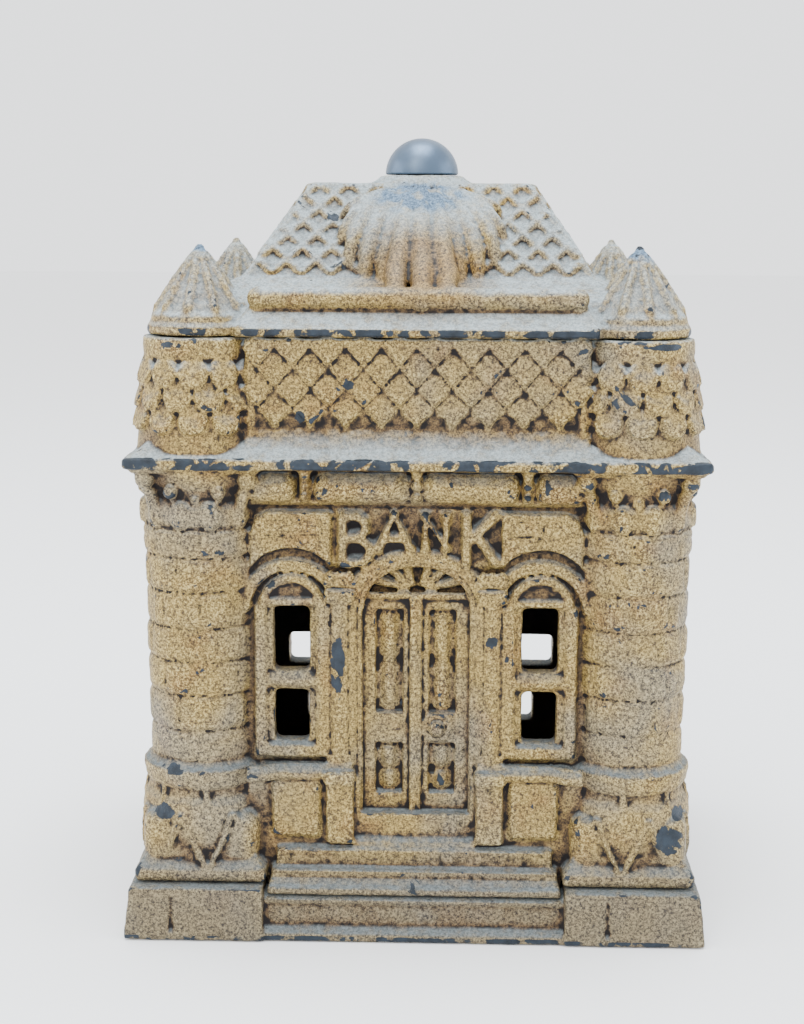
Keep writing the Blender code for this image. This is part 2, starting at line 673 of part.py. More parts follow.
def build_roof(parts, tools, material):
    cleared = [(-31.5, -37.0), (31.5, -37.0), (36.0, -30.0), (48.8, -20.0), (48.8, 20.0), (36.0, 30.0)]
    cleared += [(31.5, 37.0), (-31.5, 37.0), (-36.0, 30.0), (-48.8, 20.0), (-48.8, -20.0), (-36.0, -30.0)]
    roof = Casting("roof", prism(cleared, "Z", ROOF_FOOT, 112.4), parts, tools)
    slope = [(a * 0.965, b * 0.955) for a, b in cleared]
    inset = [(a * 0.9, b * 0.87) for a, b in cleared]
    roof.add(prism(slope, "Z", 112.0, 118.4, inset))
    roof.add(prism(rectangle(-41.5, 41.5, -31.0, 31.0), "Z", 116.5, 120.2, rectangle(-33.0, 33.0, -23.0, 23.0)))
    roof.add(prism(rectangle(-32.4, 32.4, -22.5, 22.5), "Z", 119.6, ROOF_TOP, rectangle(-20.7, 20.7, -8.0, 8.0)))
    for facing in (-1, 1):
        roll = [(facing * 32.2 + 1.75 * math.cos(a), 116.9 + 1.75 * math.sin(a)) for a in [math.pi * i / 5 for i in range(10)]]
        roof.add(prism(roll, "X", -29.3, 29.3))
        roll = [(facing * 44.0 + 1.75 * math.cos(a), 116.9 + 1.75 * math.sin(a)) for a in [math.pi * i / 5 for i in range(10)]]
        roof.add(prism(roll, "Y", -18.0, 18.0))
        for side in (-1, 1):
            build_turret(roof, side, facing)
        shell(roof, facing)
    lattice(roof)
    roof.add(turned([(133.0, 11.4), (136.6, 10.8), (137.8, 9.6), (COLLAR_TOP, 7.3)]))
    # Hollow underside.
    roof.cut(block(-40.9, 40.9, -29.3, 29.3, 100, 112.3))
    roof.cut(prism(rectangle(-40.4, 40.4, -29.0, 29.0), "Z", 111.8, 116.2, rectangle(-36.0, 36.0, -25.5, 25.5)))
    roof.cut(prism(rectangle(-28.5, 28.5, -18.2, 18.2), "Z", 115.5, 133.6, rectangle(-17.2, 17.2, -4.5, 4.5)))
    roof.cut(turned([(100, ROD_HOLE_R), (150, ROD_HOLE_R)], sides=16))
    # Short bars that drop inside the walls and keep the roof square on the body.
    for facing in (-1, 1):
        y0, y1 = sorted((facing * 29.6, facing * (32.2 - GAP)))
        roof.add(block(-24.0, 24.0, y0, y1, 107.4, 112.6))
        x0, x1 = sorted((facing * 41.4, facing * (44.0 - GAP)))
        roof.add(block(x0, x1, -12.0, 12.0, 107.4, 112.6))
    return roof.finish(material)


# ---------------------------------------------------------------- fixings


def build_rod(parts, material):
    profile = [(ROD_FOOT, ROD_R - 0.5), (ROD_FOOT + 0.5, ROD_R)]
    profile += [(ROD_TOP - 0.5, ROD_R), (ROD_TOP, ROD_R - 0.5)]
    rod = object_from(turned(profile), "tie_rod", parts)
    rod.data.shade_smooth()
    rod.data.set_sharp_from_angle(angle=math.radians(30))
    rod.data.materials.append(material)
    return rod


def build_dome_nut(parts, tools, material):
    profile = []
    rise = DOME_TOP - DOME_FOOT
    for i in range(9):
        turn = math.radians(10.5 * i)
        profile.append((DOME_FOOT + rise * math.sin(turn), DOME_R * math.cos(turn)))
    profile.append((DOME_TOP, 0.35))
    nut = Casting("dome_nut", turned(profile, sides=32), parts, tools)
    nut.cut(turned([(130, DOME_HOLE_R), (ROD_TOP + 0.6, DOME_HOLE_R), (ROD_TOP + 1.1, 1.2)], sides=20))
    return nut.finish(material)


def build_lower_nut(parts, tools, material):
    top = DECK_TOP - DECK_THICK - GAP
    half = NUT_SIDE / 2
    low = top - NUT_THICK
    near = rectangle(-half + 0.7, half - 0.7, -half + 0.7, half - 0.7)
    nut = Casting("lower_nut", prism(rectangle(-half, half, -half, half), "Z", low + 0.6, top), parts, tools)
    nut.add(prism(near, "Z", low, low + 0.7, rectangle(-half + 0.05, half - 0.05, -half + 0.05, half - 0.05)))
    nut.cut(turned([(-5, NUT_HOLE_R), (10, NUT_HOLE_R)], sides=20))
    return nut.finish(material)


def main():
    clear_scene()
    parts = new_collection("Cast iron still bank")
    tools = new_collection("Cutters", hidden=True)
    gilt = metal("Worn gilt cast iron", (0.36, 0.25, 0.12), 0.75, 0.6)
    iron = metal("Bare cast iron", (0.09, 0.10, 0.12), 0.8, 0.55)
    steel = metal("Blued steel", (0.10, 0.12, 0.15), 0.95, 0.35)
    build_base(parts, tools, gilt)
    build_front_wall(parts, tools, gilt)
    build_rear_wall(parts, tools, gilt)
    build_side_wall("left_wall", -1, parts, tools, gilt)
    build_side_wall("right_wall", 1, parts, tools, gilt)
    build_roof(parts, tools, gilt)
    build_rod(parts, iron)
    build_dome_nut(parts, tools, steel)
    build_lower_nut(parts, tools, iron)


main()
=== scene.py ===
import math

import bpy
import numpy as np
from mathutils import Matrix, Vector


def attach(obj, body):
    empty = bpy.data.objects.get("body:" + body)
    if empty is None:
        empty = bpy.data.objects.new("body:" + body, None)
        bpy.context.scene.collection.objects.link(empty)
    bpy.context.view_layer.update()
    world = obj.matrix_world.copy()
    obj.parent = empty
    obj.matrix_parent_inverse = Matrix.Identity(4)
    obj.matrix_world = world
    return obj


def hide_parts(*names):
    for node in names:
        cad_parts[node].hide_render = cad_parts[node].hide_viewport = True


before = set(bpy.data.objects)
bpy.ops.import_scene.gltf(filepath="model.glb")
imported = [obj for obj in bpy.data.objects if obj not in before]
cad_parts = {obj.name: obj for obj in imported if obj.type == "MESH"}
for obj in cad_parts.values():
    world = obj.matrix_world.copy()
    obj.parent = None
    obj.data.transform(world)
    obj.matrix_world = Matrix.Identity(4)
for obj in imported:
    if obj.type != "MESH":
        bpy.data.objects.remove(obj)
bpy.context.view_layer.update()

bl_info = {
    "name": "Cast iron still bank",
    "version": (1, 0, 0),
    "blender": (4, 5, 0),
    "location": "3D View > Sidebar > Still Bank",
    "description": "Models a gilt cast iron coin bank shaped like a small bank building",
    "category": "Add Mesh",
}

MM = 0.001
TOWER = (39.3, 27.3)
WALL_Y = 33.0
MANSARD_Y = 35.2
MANSARD_X = 47.1
BODY_FOOT = 8.6
TOWER_FOOT = 10.5
BODY_TOP = 110.2
ROOF_FOOT = 110.5
ROOF_TOP = 137.4
ROOM_X = 41.1
SIDE_X = 44.6
TONGUE_END = 19.4
SLOT_Z = 101.8
COURSE_JOINTS = (32.4, 38.4, 45.0, 51.3, 57.6, 64.2, 70.6, 74.4)
EAVES_Z = 120.2
HIP_FOOT = 119.6
HIP_HALF = (32.4, 22.5)
TOP_HALF = (20.7, 8.0)
WINDOW_X = 22.6
SLATE_ROWS = (97.7, 101.3, 104.9, 108.5)
SLATE_PITCH = 6.3
TOOL_CELL = 0.0005
PLAIN_TRIANGLES = 120000
FRONT_TRIANGLES = 196000
BLUED = ((0.075, 0.110, 0.160), (0.13, 0.175, 0.235), 0.28, 0.7)


# ------------------------------------------------------------ settings


class StillBankCasting(bpy.types.PropertyGroup):
    """How finely the castings are made."""

    cell: bpy.props.FloatProperty(
        name="Casting detail",
        description="Size of the smallest detail that the mould keeps",
        default=0.00036,
        min=0.0002,
        max=0.002,
        unit="LENGTH",
    )
    grain: bpy.props.FloatProperty(
        name="Sand grain",
        description="Height of the roughness that the moulding sand leaves",
        default=0.00016,
        min=0.0,
        max=0.001,
        unit="LENGTH",
    )
    most_triangles: bpy.props.IntProperty(
        name="Most triangles",
        description="A casting is thinned to this many triangles, unless it brings its own number",
        default=190000,
        min=10000,
    )


class StillBankPaint(bpy.types.PropertyGroup):
    """Colours of the worn finish, with painted shade in the crevices and painted top light in the dusting.
    """

    gilt: bpy.props.FloatVectorProperty(
        name="Gilt",
        description="Gold paint where it is cleanest",
        subtype="COLOR",
        default=(0.365, 0.252, 0.072),
        min=0.0,
        max=1.0,
    )
    tarnish: bpy.props.FloatVectorProperty(
        name="Tarnish",
        description="Gold paint where it has darkened",
        subtype="COLOR",
        default=(0.062, 0.041, 0.022),
        min=0.0,
        max=1.0,
    )
    # Painted shade and old dirt: the near black that darkens deep hollows and creases.
    crevice_shade_and_dirt: bpy.props.FloatVectorProperty(
        name="Crevice shade and dirt",
        description="Painted shade and old dirt in the hollows",
        subtype="COLOR",
        default=(0.008, 0.006, 0.006),
        min=0.0,
        max=1.0,
    )
    iron: bpy.props.FloatVectorProperty(
        name="Bare iron",
        description="Cast iron where the paint has chipped off",
        subtype="COLOR",
        default=(0.012, 0.018, 0.026),
        min=0.0,
        max=1.0,
    )
    # Grey dusting together with painted cool top light on faces that look up.
    dust_and_top_light: bpy.props.FloatVectorProperty(
        name="Dust and top light",
        description="Grey dusting and painted cool top light on surfaces that face up",
        subtype="COLOR",
        default=(0.36, 0.41, 0.42),
        min=0.0,
        max=1.0,
    )


# ------------------------------------------------------------ hand tools


def settle():
    """Object mode, with nothing selected."""
    if bpy.context.object and bpy.context.object.mode != "OBJECT":
        bpy.ops.object.mode_set(mode="OBJECT")
    bpy.ops.object.select_all(action="DESELECT")


def pick(obj):
    settle()
    obj.select_set(True)
    bpy.context.view_layer.objects.active = obj


def bar(x0, x1, y0, y1, z0, z1, soft=0.0):
    """A box between two corners, in millimetres, with its edges rounded by soft."""
    settle()
    middle = Vector(((x0 + x1) / 2, (y0 + y1) / 2, (z0 + z1) / 2)) * MM
    size = (abs(x1 - x0) * MM, abs(y1 - y0) * MM, abs(z1 - z0) * MM)
    bpy.ops.mesh.primitive_cube_add(size=1, location=middle, scale=size)
    obj = bpy.context.object
    bpy.ops.object.transform_apply(location=True, rotation=True, scale=True)
    if soft:
        bpy.ops.object.mode_set(mode="EDIT")
        bpy.ops.mesh.select_all(action="SELECT")
        bpy.ops.mesh.bevel(offset=soft * MM, segments=3, affect="EDGES")
        bpy.ops.object.mode_set(mode="OBJECT")
    return obj


def face_bar(facing, x0, x1, out0, out1, z0, z1, soft=0.0):
    """A box on the front (-1) or back (+1): out is the distance from the middle plane."""
    y0, y1 = sorted((facing * out0, facing * out1))
    return bar(x0, x1, y0, y1, z0, z1, soft)


def bead(x, y, z, rx, ry, rz, turn=(0.0, 0.0, 0.0)):
    """A ball or an egg."""
    settle()
    bpy.ops.mesh.primitive_uv_sphere_add(
        segments=16,
        ring_count=10,
        radius=1,
        location=Vector((x, y, z)) * MM,
        rotation=turn,
        scale=(rx * MM, ry * MM, rz * MM),
    )
    obj = bpy.context.object
    bpy.ops.object.transform_apply(location=True, rotation=True, scale=True)
    return obj


def disc(x, y, z, radius, thick, turn):
    """A short round plate, turned in place."""
    settle()
    bpy.ops.mesh.primitive_cylinder_add(
        vertices=20,
        radius=radius * MM,
        depth=thick * MM,
        location=Vector((x, y, z)) * MM,
        rotation=turn,
    )
    obj = bpy.context.object
    bpy.ops.object.transform_apply(location=True, rotation=True, scale=True)
    return obj


def post(centre, profile, sides=64):
    """An upright turned shape: a disc extruded and resized from one height to the next."""
    settle()
    z, radius = profile[0]
    middle = Vector((centre[0], centre[1], z)) * MM
    bpy.ops.mesh.primitive_circle_add(
        vertices=sides, radius=radius * MM, fill_type="NGON", location=middle
    )
    obj = bpy.context.object
    bpy.ops.object.transform_apply(location=True, rotation=True, scale=True)
    bpy.ops.object.mode_set(mode="EDIT")
    bpy.ops.mesh.select_all(action="SELECT")
    for next_z, next_radius in profile[1:]:
        rise = (0.0, 0.0, (next_z - z) * MM)
        bpy.ops.mesh.extrude_region_move(TRANSFORM_OT_translate={"value": rise})
        share = next_radius / radius
        middle = Vector((centre[0], centre[1], next_z)) * MM
        bpy.ops.transform.resize(value=(share, share, 1.0), center_override=middle)
        z, radius = next_z, next_radius
    bpy.ops.mesh.select_all(action="SELECT")
    bpy.ops.mesh.normals_make_consistent(inside=False)
    bpy.ops.object.mode_set(mode="OBJECT")
    return obj


def rail(points, radii, facets=3):
    """A rounded moulding along a path, with a radius for each point."""
    curve = bpy.data.curves.new("rail", "CURVE")
    curve.dimensions = "3D"
    curve.bevel_depth = MM
    curve.bevel_resolution = facets
    curve.use_fill_caps = True
    line = curve.splines.new("POLY")
    line.points.add(len(points) - 1)
    if not hasattr(radii, "__len__"):
        radii = [radii] * len(points)
    for place, point, radius in zip(line.points, points, radii):
        place.co = (*(Vector(point) * MM), 1)
        place.radius = radius
    obj = bpy.data.objects.new("rail", curve)
    bpy.context.scene.collection.objects.link(obj)
    pick(obj)
    bpy.ops.object.convert(target="MESH")
    return bpy.context.object


def plate(outline, facing, out0, out1):
    """A flat outline of (x, z) points given a thickness towards the front or the back."""
    settle()
    count = len(outline)
    y = facing * out0 * MM
    bpy.ops.mesh.primitive_circle_add(vertices=count, radius=MM, fill_type="NGON")
    obj = bpy.context.object
    for vertex, (x, z) in zip(obj.data.vertices, outline):
        vertex.co = (x * MM, y, z * MM)
    obj.data.update()
    bpy.ops.object.mode_set(mode="EDIT")
    bpy.ops.mesh.select_all(action="SELECT")
    step = (0.0, facing * (out1 - out0) * MM, 0.0)
    bpy.ops.mesh.extrude_region_move(TRANSFORM_OT_translate={"value": step})
    bpy.ops.mesh.select_all(action="SELECT")
    bpy.ops.mesh.normals_make_consistent(inside=False)
    bpy.ops.object.mode_set(mode="OBJECT")
    return obj


def moulded_run(profile, axis, low, high):
    """A cornice or wall: a cross-section of (distance, height) points drawn out along X or Y."""
    settle()
    bpy.ops.mesh.primitive_circle_add(vertices=len(profile), radius=MM, fill_type="NGON")
    obj = bpy.context.object
    for vertex, (out, z) in zip(obj.data.vertices, profile):
        vertex.co = Vector((low, out, z) if axis == "X" else (out, low, z)) * MM
    obj.data.update()
    bpy.ops.object.mode_set(mode="EDIT")
    bpy.ops.mesh.select_all(action="SELECT")
    length = (high - low) * MM
    step = (length, 0, 0) if axis == "X" else (0, length, 0)
    bpy.ops.mesh.extrude_region_move(TRANSFORM_OT_translate={"value": step})
    bpy.ops.mesh.select_all(action="SELECT")
    bpy.ops.mesh.normals_make_consistent(inside=False)
    bpy.ops.object.mode_set(mode="OBJECT")
    return obj


def frustum(low_half, low_z, high_half, high_z):
    """A four-sided block that narrows upwards."""
    settle()
    bpy.ops.mesh.primitive_cube_add(size=2, location=(0, 0, 0))
    obj = bpy.context.object
    for vertex in obj.data.vertices:
        top = vertex.co.z > 0
        half, z = (high_half, high_z) if top else (low_half, low_z)
        x = math.copysign(half[0], vertex.co.x)
        y = math.copysign(half[1], vertex.co.y)
        vertex.co = Vector((x, y, z)) * MM
    obj.data.update()
    return obj


def arc_points(middle, spring, radius, start, end, out, count=14):
    """Points along an arch seen from in front, from one angle in degrees to another."""
    points = []
    for i in range(count + 1):
        turn = math.radians(start + (end - start) * i / count)
        points.append((middle + radius * math.cos(turn), out, spring + radius * math.sin(turn)))
    return points


def arched(x0, x1, foot, spring, top, count=14):
    """A window outline with straight jambs and a rounded head."""
    middle, half = (x0 + x1) / 2, (x1 - x0) / 2
    points = [(x0, foot), (x1, foot)]
    for i in range(count + 1):
        turn = math.pi * i / count
        points.append((middle + half * math.cos(turn), spring + (top - spring) * math.sin(turn)))
    return points


def apply_all(obj):
    pick(obj)
    for modifier in list(obj.modifiers):
        bpy.ops.object.modifier_apply(modifier=modifier.name)


def joined(pieces, name):
    settle()
    for piece in pieces:
        piece.select_set(True)
    bpy.context.view_layer.objects.active = pieces[0]
    bpy.ops.object.join()
    obj = bpy.context.object
    obj.name = name
    obj.data.name = name
    return obj


def gathered(pieces):
    """Joins a group of loose pieces, so that the next ones are quick to add."""
    return [joined(pieces, "group")]


def copied(obj, shift, flip=(1.0, 1.0)):
    """A copy with its own mesh, moved and perhaps mirrored across X or Y."""
    pick(obj)
    bpy.ops.object.duplicate()
    twin = bpy.context.object
    bpy.ops.object.mode_set(mode="EDIT")
    bpy.ops.mesh.select_all(action="SELECT")
    bpy.ops.transform.resize(value=(flip[0], flip[1], 1.0), center_override=(0.0, 0.0, 0.0))
    bpy.ops.transform.translate(value=Vector(shift) * MM)
    if flip[0] * flip[1] < 0:
        bpy.ops.mesh.flip_normals()
    bpy.ops.object.mode_set(mode="OBJECT")
    return twin


def remeshed(obj, cell):
    """Fuses all that overlaps into one even skin."""
    pick(obj)
    obj.data.remesh_voxel_size = cell
    obj.data.remesh_voxel_adaptivity = 0.0
    obj.data.use_remesh_preserve_volume = False
    bpy.ops.object.voxel_remesh()


def cut(obj, tools):
    """Takes the tools out of the casting, then removes them."""
    tool = joined(tools, "tools")
    remeshed(tool, TOOL_CELL)
    modifier = obj.modifiers.new("Core", "BOOLEAN")
    modifier.operation = "DIFFERENCE"
    modifier.solver = "MANIFOLD"
    modifier.object = tool
    apply_all(obj)
    bpy.data.objects.remove(tool)


def smoothed(obj, factor, repeats):
    modifier = obj.modifiers.new("Soften", "SMOOTH")
    modifier.factor = factor
    modifier.iterations = repeats
    apply_all(obj)


def roughened(obj, height, size, name):
    texture = bpy.data.textures.new(name, "CLOUDS")
    texture.noise_scale = size
    texture.noise_depth = 2
    modifier = obj.modifiers.new("Sand", "DISPLACE")
    modifier.texture = texture
    modifier.texture_coords = "LOCAL"
    modifier.strength = height
    modifier.mid_level = 0.5
    apply_all(obj)


def thinned(obj, most):
    """Merges the smallest triangles until no more than most are left."""
    count = len(obj.data.loops) - 2 * len(obj.data.polygons)
    if count > most:
        pick(obj)
        bpy.ops.object.mode_set(mode="EDIT")
        bpy.ops.mesh.select_all(action="SELECT")
        bpy.ops.mesh.decimate(ratio=most / count)
        bpy.ops.object.mode_set(mode="OBJECT")


def relief_attribute(obj, name, repeats):
    """Stores how far each point stands above (+) or below (-) its smoothed surroundings, in millimetres."""
    twin = obj.copy()
    twin.data = obj.data.copy()
    bpy.context.scene.collection.objects.link(twin)
    smoothed(twin, 0.5, repeats)
    count = len(obj.data.vertices)
    here = np.empty(count * 3, np.float32)
    there = np.empty(count * 3, np.float32)
    normal = np.empty(count * 3, np.float32)
    obj.data.vertices.foreach_get("co", here)
    twin.data.vertices.foreach_get("co", there)
    obj.data.vertex_normals.foreach_get("vector", normal)
    height = ((here - there) * normal).reshape(-1, 3).sum(axis=1) / MM
    layer = obj.data.attributes.new(name, "FLOAT", "POINT")
    layer.data.foreach_set("value", height.astype(np.float32))
    bpy.data.objects.remove(twin)


def casting(name, pieces, cores, material, body, late=(), fine=1.0, most=None):
    """Turns loose shapes into one sand casting: one skin, softened edges, grain, and its relief stored."""
    settings = bpy.context.scene.still_bank_casting
    cell = settings.cell * fine
    obj = joined(pieces, name)
    remeshed(obj, cell)
    cut(obj, cores)
    if late:
        obj = joined([obj, *late], name)
    remeshed(obj, cell)
    smoothed(obj, 0.5, 3)
    roughened(obj, settings.grain, 0.0011, name + " fine sand")
    roughened(obj, settings.grain * 1.6, 0.0045, name + " coarse sand")
    thinned(obj, most or settings.most_triangles)
    relief_attribute(obj, "edge", 6)
    relief_attribute(obj, "hollow", 60)
    pick(obj)
    bpy.ops.object.shade_smooth()
    obj.data.materials.clear()
    obj.data.materials.append(material)
    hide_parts(name.replace("cast_", ""))
    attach(obj, body)
    return obj


# ------------------------------------------------------------ towers


def tower_foot(centre):
    """Square foot, swelling bell and ring moulding."""
    x, y = centre
    pieces = [bar(x - 12.1, x + 12.1, y - 12.1, y + 12.1, TOWER_FOOT, 13.2, 0.8)]
    pieces.append(frustum((12.1, 12.1), 12.6, (9.6, 9.6), 16.2))
    for vertex in pieces[-1].data.vertices:
        vertex.co += Vector((x, y, 0)) * MM
    bell = [(11.0, 11.4), (14.0, 11.2), (16.5, 11.3), (19.5, 11.9), (22.5, 12.05)]
    bell += [(24.8, 11.7), (26.6, 10.9), (28.6, 10.6), (30.0, 10.6)]
    pieces.append(post(centre, bell))
    pieces.append(bar(x - 10.9, x + 10.9, y - 10.9, y + 10.9, 12.0, 24.0, 3.4))
    ring = [(28.0, 10.9), (28.4, 11.3), (29.0, 11.5), (29.3, 11.3), (29.7, 11.5), (31.0, 11.8)]
    ring += [(31.5, 11.6), (31.8, 10.9), (33.4, 9.9)]
    pieces.append(post(centre, ring))
    return pieces


def tower_leaves(centre):
    """Pointed arch lines and upright joints on the bell of the foot."""
    pieces = []
    x, y = centre
    for i in range(8):
        base = math.pi * (i + 0.35) / 4
        for lean in (-1, 1):
            points = []
            for share in (0.0, 0.35, 0.7, 1.0):
                angle = base + lean * (0.02 + 0.33 * share)
                square = max(abs(math.cos(angle)), abs(math.sin(angle)))
                reach = min(11.75 / square, 12.45)
                up = 23.4 - 9.8 * share**0.8
                points.append((x + reach * math.cos(angle), y + reach * math.sin(angle), up))
            pieces.append(rail(points, (0.3, 0.42, 0.48, 0.35), 1))
        angle = base + math.pi / 8
        top = (x + 11.0 * math.cos(angle), y + 11.0 * math.sin(angle), 27.8)
        low = (x + 11.8 * math.cos(angle), y + 11.8 * math.sin(angle), 24.4)
        pieces.append(rail([low, top], 0.35, 1))
    return pieces


def course_radius(z):
    return 9.75 + 0.85 * (z - 32.0) / 41.0


def tower_courses(centre):
    """Stone courses with raised blocks, each a drum whose block faces are pushed out."""
    pieces = [post(centre, [(30.0, 9.0), (90.0, 10.0)], 48)]
    lift = 0.22
    for index, (foot, head) in enumerate(zip(COURSE_JOINTS, COURSE_JOINTS[1:])):
        low, high = course_radius(foot), course_radius(head)
        pieces.append(
            post(
                centre,
                [
                    (foot + 0.25, low - 0.35),
                    (foot + 0.75, low + lift - 0.22),
                    (foot + 1.5, low + lift),
                    (head - 1.0, high + lift * 0.6),
                    (head - 0.2, high - 0.15),
                    (head + 0.1, high - 0.4),
                ],
            )
        )
        raise_blocks(pieces[-1], centre, foot, head, index)
    return pieces


def raise_blocks(drum, centre, foot, head, index):
    """Pushes separate stones of a course out, with narrow joints left between them."""
    pick(drum)
    stones = 9
    shift = 0.5 * (index % 2)
    for polygon in drum.data.polygons:
        place = polygon.center / MM
        turn = math.atan2(place.y - centre[1], place.x - centre[0]) / (2 * math.pi)
        share = (turn * stones + shift + 0.37) % 1.0
        inside = foot + 0.9 < place.z < head - 0.4
        polygon.select = inside and share > 0.16 and (int(turn * stones + shift + 20) % 3 != index % 3)
    bpy.ops.object.mode_set(mode="EDIT")
    bpy.ops.mesh.select_mode(type="FACE")
    bpy.ops.mesh.extrude_region_shrink_fatten(TRANSFORM_OT_shrink_fatten={"value": 0.30 * MM})
    bpy.ops.object.mode_set(mode="OBJECT")


def tower_capital(centre):
    """Ring, leaf bell with curled corners, and the flare under the cornice."""
    x, y = centre
    profile = [(73.6, 9.8), (74.2, 10.9), (74.9, 11.1), (75.5, 10.9), (75.9, 10.3), (76.6, 10.6)]
    profile += [(78.2, 11.2), (79.6, 11.0), (81.4, 10.2), (83.0, 10.4), (84.6, 11.4), (87.4, 12.4)]
    pieces = [post(centre, profile)]
    for i in range(12):
        turn = 2 * math.pi * (i + 0.5) / 12
        reach = 10.7
        tip = (x + reach * math.cos(turn), y + reach * math.sin(turn), 78.6)
        pieces.append(bead(*tip, 0.95, 1.9, 2.6, (0.0, 0.0, turn)))
        vein_x = x + (reach + 0.8) * math.cos(turn)
        vein_y = y + (reach + 0.8) * math.sin(turn)
        vein = [(vein_x, vein_y, 76.4), (vein_x, vein_y, 80.6)]
        pieces.append(rail(vein, (0.35, 0.3), 1))
    for i in range(8):
        turn = math.pi * (i + 0.5) / 4
        diagonal = i % 2 == 0
        reach = 11.6 if diagonal else 10.9
        pieces.append(
            bead(x + reach * math.cos(turn), y + reach * math.sin(turn), 83.0, 1.3, 1.3, 1.3)
        )
    for i in range(4):
        turn = math.pi * (i + 0.5) / 2
        out = 13.0
        pieces.append(bead(x + out * math.cos(turn), y + out * math.sin(turn), 85.2, 1.8, 1.8, 1.9))
        curl = []
        for share in (0.0, 0.3, 0.6, 1.0):
            reach = 10.4 + 3.0 * share ** 1.6
            curl.append((x + reach * math.cos(turn), y + reach * math.sin(turn), 77.0 + 9.0 * share))
        pieces.append(rail(curl, (0.9, 1.2, 1.2, 0.9), 2))
    for i in range(16):
        turn = 2 * math.pi * i / 16
        pieces.append(bead(x + 10.6 * math.cos(turn), y + 10.6 * math.sin(turn), 81.6, 0.6, 0.6, 0.6))
    return pieces


def drum_radius(z):
    return 11.75 - (z - 91.5) * 0.118


def tower_drum(centre):
    """Drum above the cornice with a rim and three rows of fish-scale slates."""
    x, y = centre
    profile = [(88.0, 12.0), (91.5, 11.75), (106.2, drum_radius(106.2)), (106.6, 10.15)]
    profile += [(107.4, 10.35), (108.8, 10.35), (BODY_TOP, 10.15)]
    pieces = [post(centre, profile)]
    for row, z in enumerate((95.8, 99.9, 104.0)):
        for i in range(12):
            turn = 2 * math.pi * (i + 0.5 * (row % 2)) / 12
            radius = drum_radius(z) - 0.05
            place = (x + radius * math.cos(turn), y + radius * math.sin(turn), z)
            tilt = (math.pi / 2 - 0.30, 0.0, turn + math.pi / 2)
            pieces.append(disc(*place, 2.6, 1.7, tilt))
    return pieces


def corner_cornice(facing, side):
    """Square corner of the cornice, its slope, and the wall behind the drum."""
    x0, x1 = sorted((side * 27.0, side * 52.0))
    pieces = [face_bar(facing, x0, x1, 14.6, 40.0, 87.2, 89.3, 0.5)]
    pieces.append(face_bar(facing, *sorted((side * 28.0, side * 50.9)), 14.6, 38.9, 86.4, 88.0, 0.4))
    slope = frustum((12.0, 12.2), 88.9, (9.0, 9.0), 91.2)
    for vertex in slope.data.vertices:
        vertex.co += Vector((side * TOWER[0], facing * 27.1, 0)) * MM
    pieces.append(slope)
    x2, x3 = sorted((side * 43.9, side * MANSARD_X))
    pieces.append(face_bar(facing, x2, x3, 14.6, 26.0, 93.0, BODY_TOP))
    x2, x3 = sorted((side * 40.0, side * 51.9))
    pieces.append(face_bar(facing, x2, x3, 14.6, 18.0, 87.2, 89.3))
    pieces.append(
        face_bar(facing, *sorted((side * 41.0, side * 48.6)), 14.6, 18.0, 89.0, 92.4)
    )
    return pieces


def towers(facing):
    """One tower is made on the middle axis, then copied to both corners."""
    middle = (0.0, 0.0)
    parts = tower_foot(middle) + tower_leaves(middle) + tower_courses(middle)
    parts += tower_capital(middle) + tower_drum(middle)
    tower = joined(parts, "tower")
    pieces = []
    for side in (-1, 1):
        pieces.append(copied(tower, (side * TOWER[0], facing * TOWER[1], 0.0), (side, -facing)))
        pieces += corner_cornice(facing, side)
    bpy.data.objects.remove(tower)
    return gathered(pieces)


def tower_cores(facing):
    """The hollows of both towers, the grooves for the side walls and the coin room."""
    tools = []
    for side in (-1, 1):
        centre = (side * TOWER[0], facing * TOWER[1])
        tools.append(post(centre, [(4.0, 7.0), (116.0, 7.0)], 48))
        x0, x1 = sorted((side * (ROOM_X - 0.6), side * (SIDE_X + 0.3)))
        tools.append(face_bar(facing, x0, x1, 8.0, TONGUE_END + 0.3, 4.0, 86.6))
    tools.append(face_bar(facing, -ROOM_X, ROOM_X, 2.0, 30.0, 4.0, 116.0))
    tools.append(face_bar(facing, -32.4, 32.4, 25.0, 32.2, 92.4, 116.0))
    return tools


# ------------------------------------------------------------ long walls


def long_wall_run(facing):
    """Wall face, frieze, cornice, its upper slope and the steep roof, drawn out between the towers."""
    outline = [
        (29.0, TOWER_FOOT),
        (34.8, TOWER_FOOT),
        (34.8, 29.4),
        (WALL_Y, 31.5),
        (WALL_Y, 80.0),
        (33.9, 80.5),
        (33.9, 86.6),
        (36.4, 86.9),
        (38.6, 87.2),
        (40.0, 87.5),
        (40.0, 89.0),
        (39.0, 89.4),
        (37.2, 90.6),
        (36.0, 92.4),
        (MANSARD_Y, 94.6),
        (MANSARD_Y, BODY_TOP),
        (29.0, BODY_TOP),
    ]
    profile = [(facing * out, z) for out, z in outline]
    pieces = [moulded_run(profile, "X", -30.5, 30.5)]
    pieces.append(face_bar(facing, -27.3, 27.3, 28.0, 34.9, BODY_FOOT, 20.0))
    return pieces


def frieze(facing):
    pieces = []
    for low, high in ((-30.2, -21.6), (-18.4, -1.0), (1.1, 18.3), (21.3, 30.2)):
        pieces.append(face_bar(facing, low, high, 32.8, 36.3, 80.9, 86.2, 1.7))
        span = [(low + 1.6, facing * 34.9, 83.6), (high - 1.6, facing * 34.9, 83.6)]
        pieces.append(rail(span, 2.0, 4))
    for x in (-20.0, 0.05, 19.8):
        pieces.append(face_bar(facing, x - 0.9, x + 0.9, 33.0, 35.6, 81.0, 87.6, 0.3))
        for z, size in ((86.2, 1.05), (84.2, 0.9), (82.2, 0.75)):
            pieces.append(bead(x, facing * 36.0, z, size, 1.0, size))
    edge = [(-29.8, facing * 33.8, 80.9), (29.8, facing * 33.8, 80.9)]
    pieces.append(rail(edge, 0.55, 2))
    return pieces


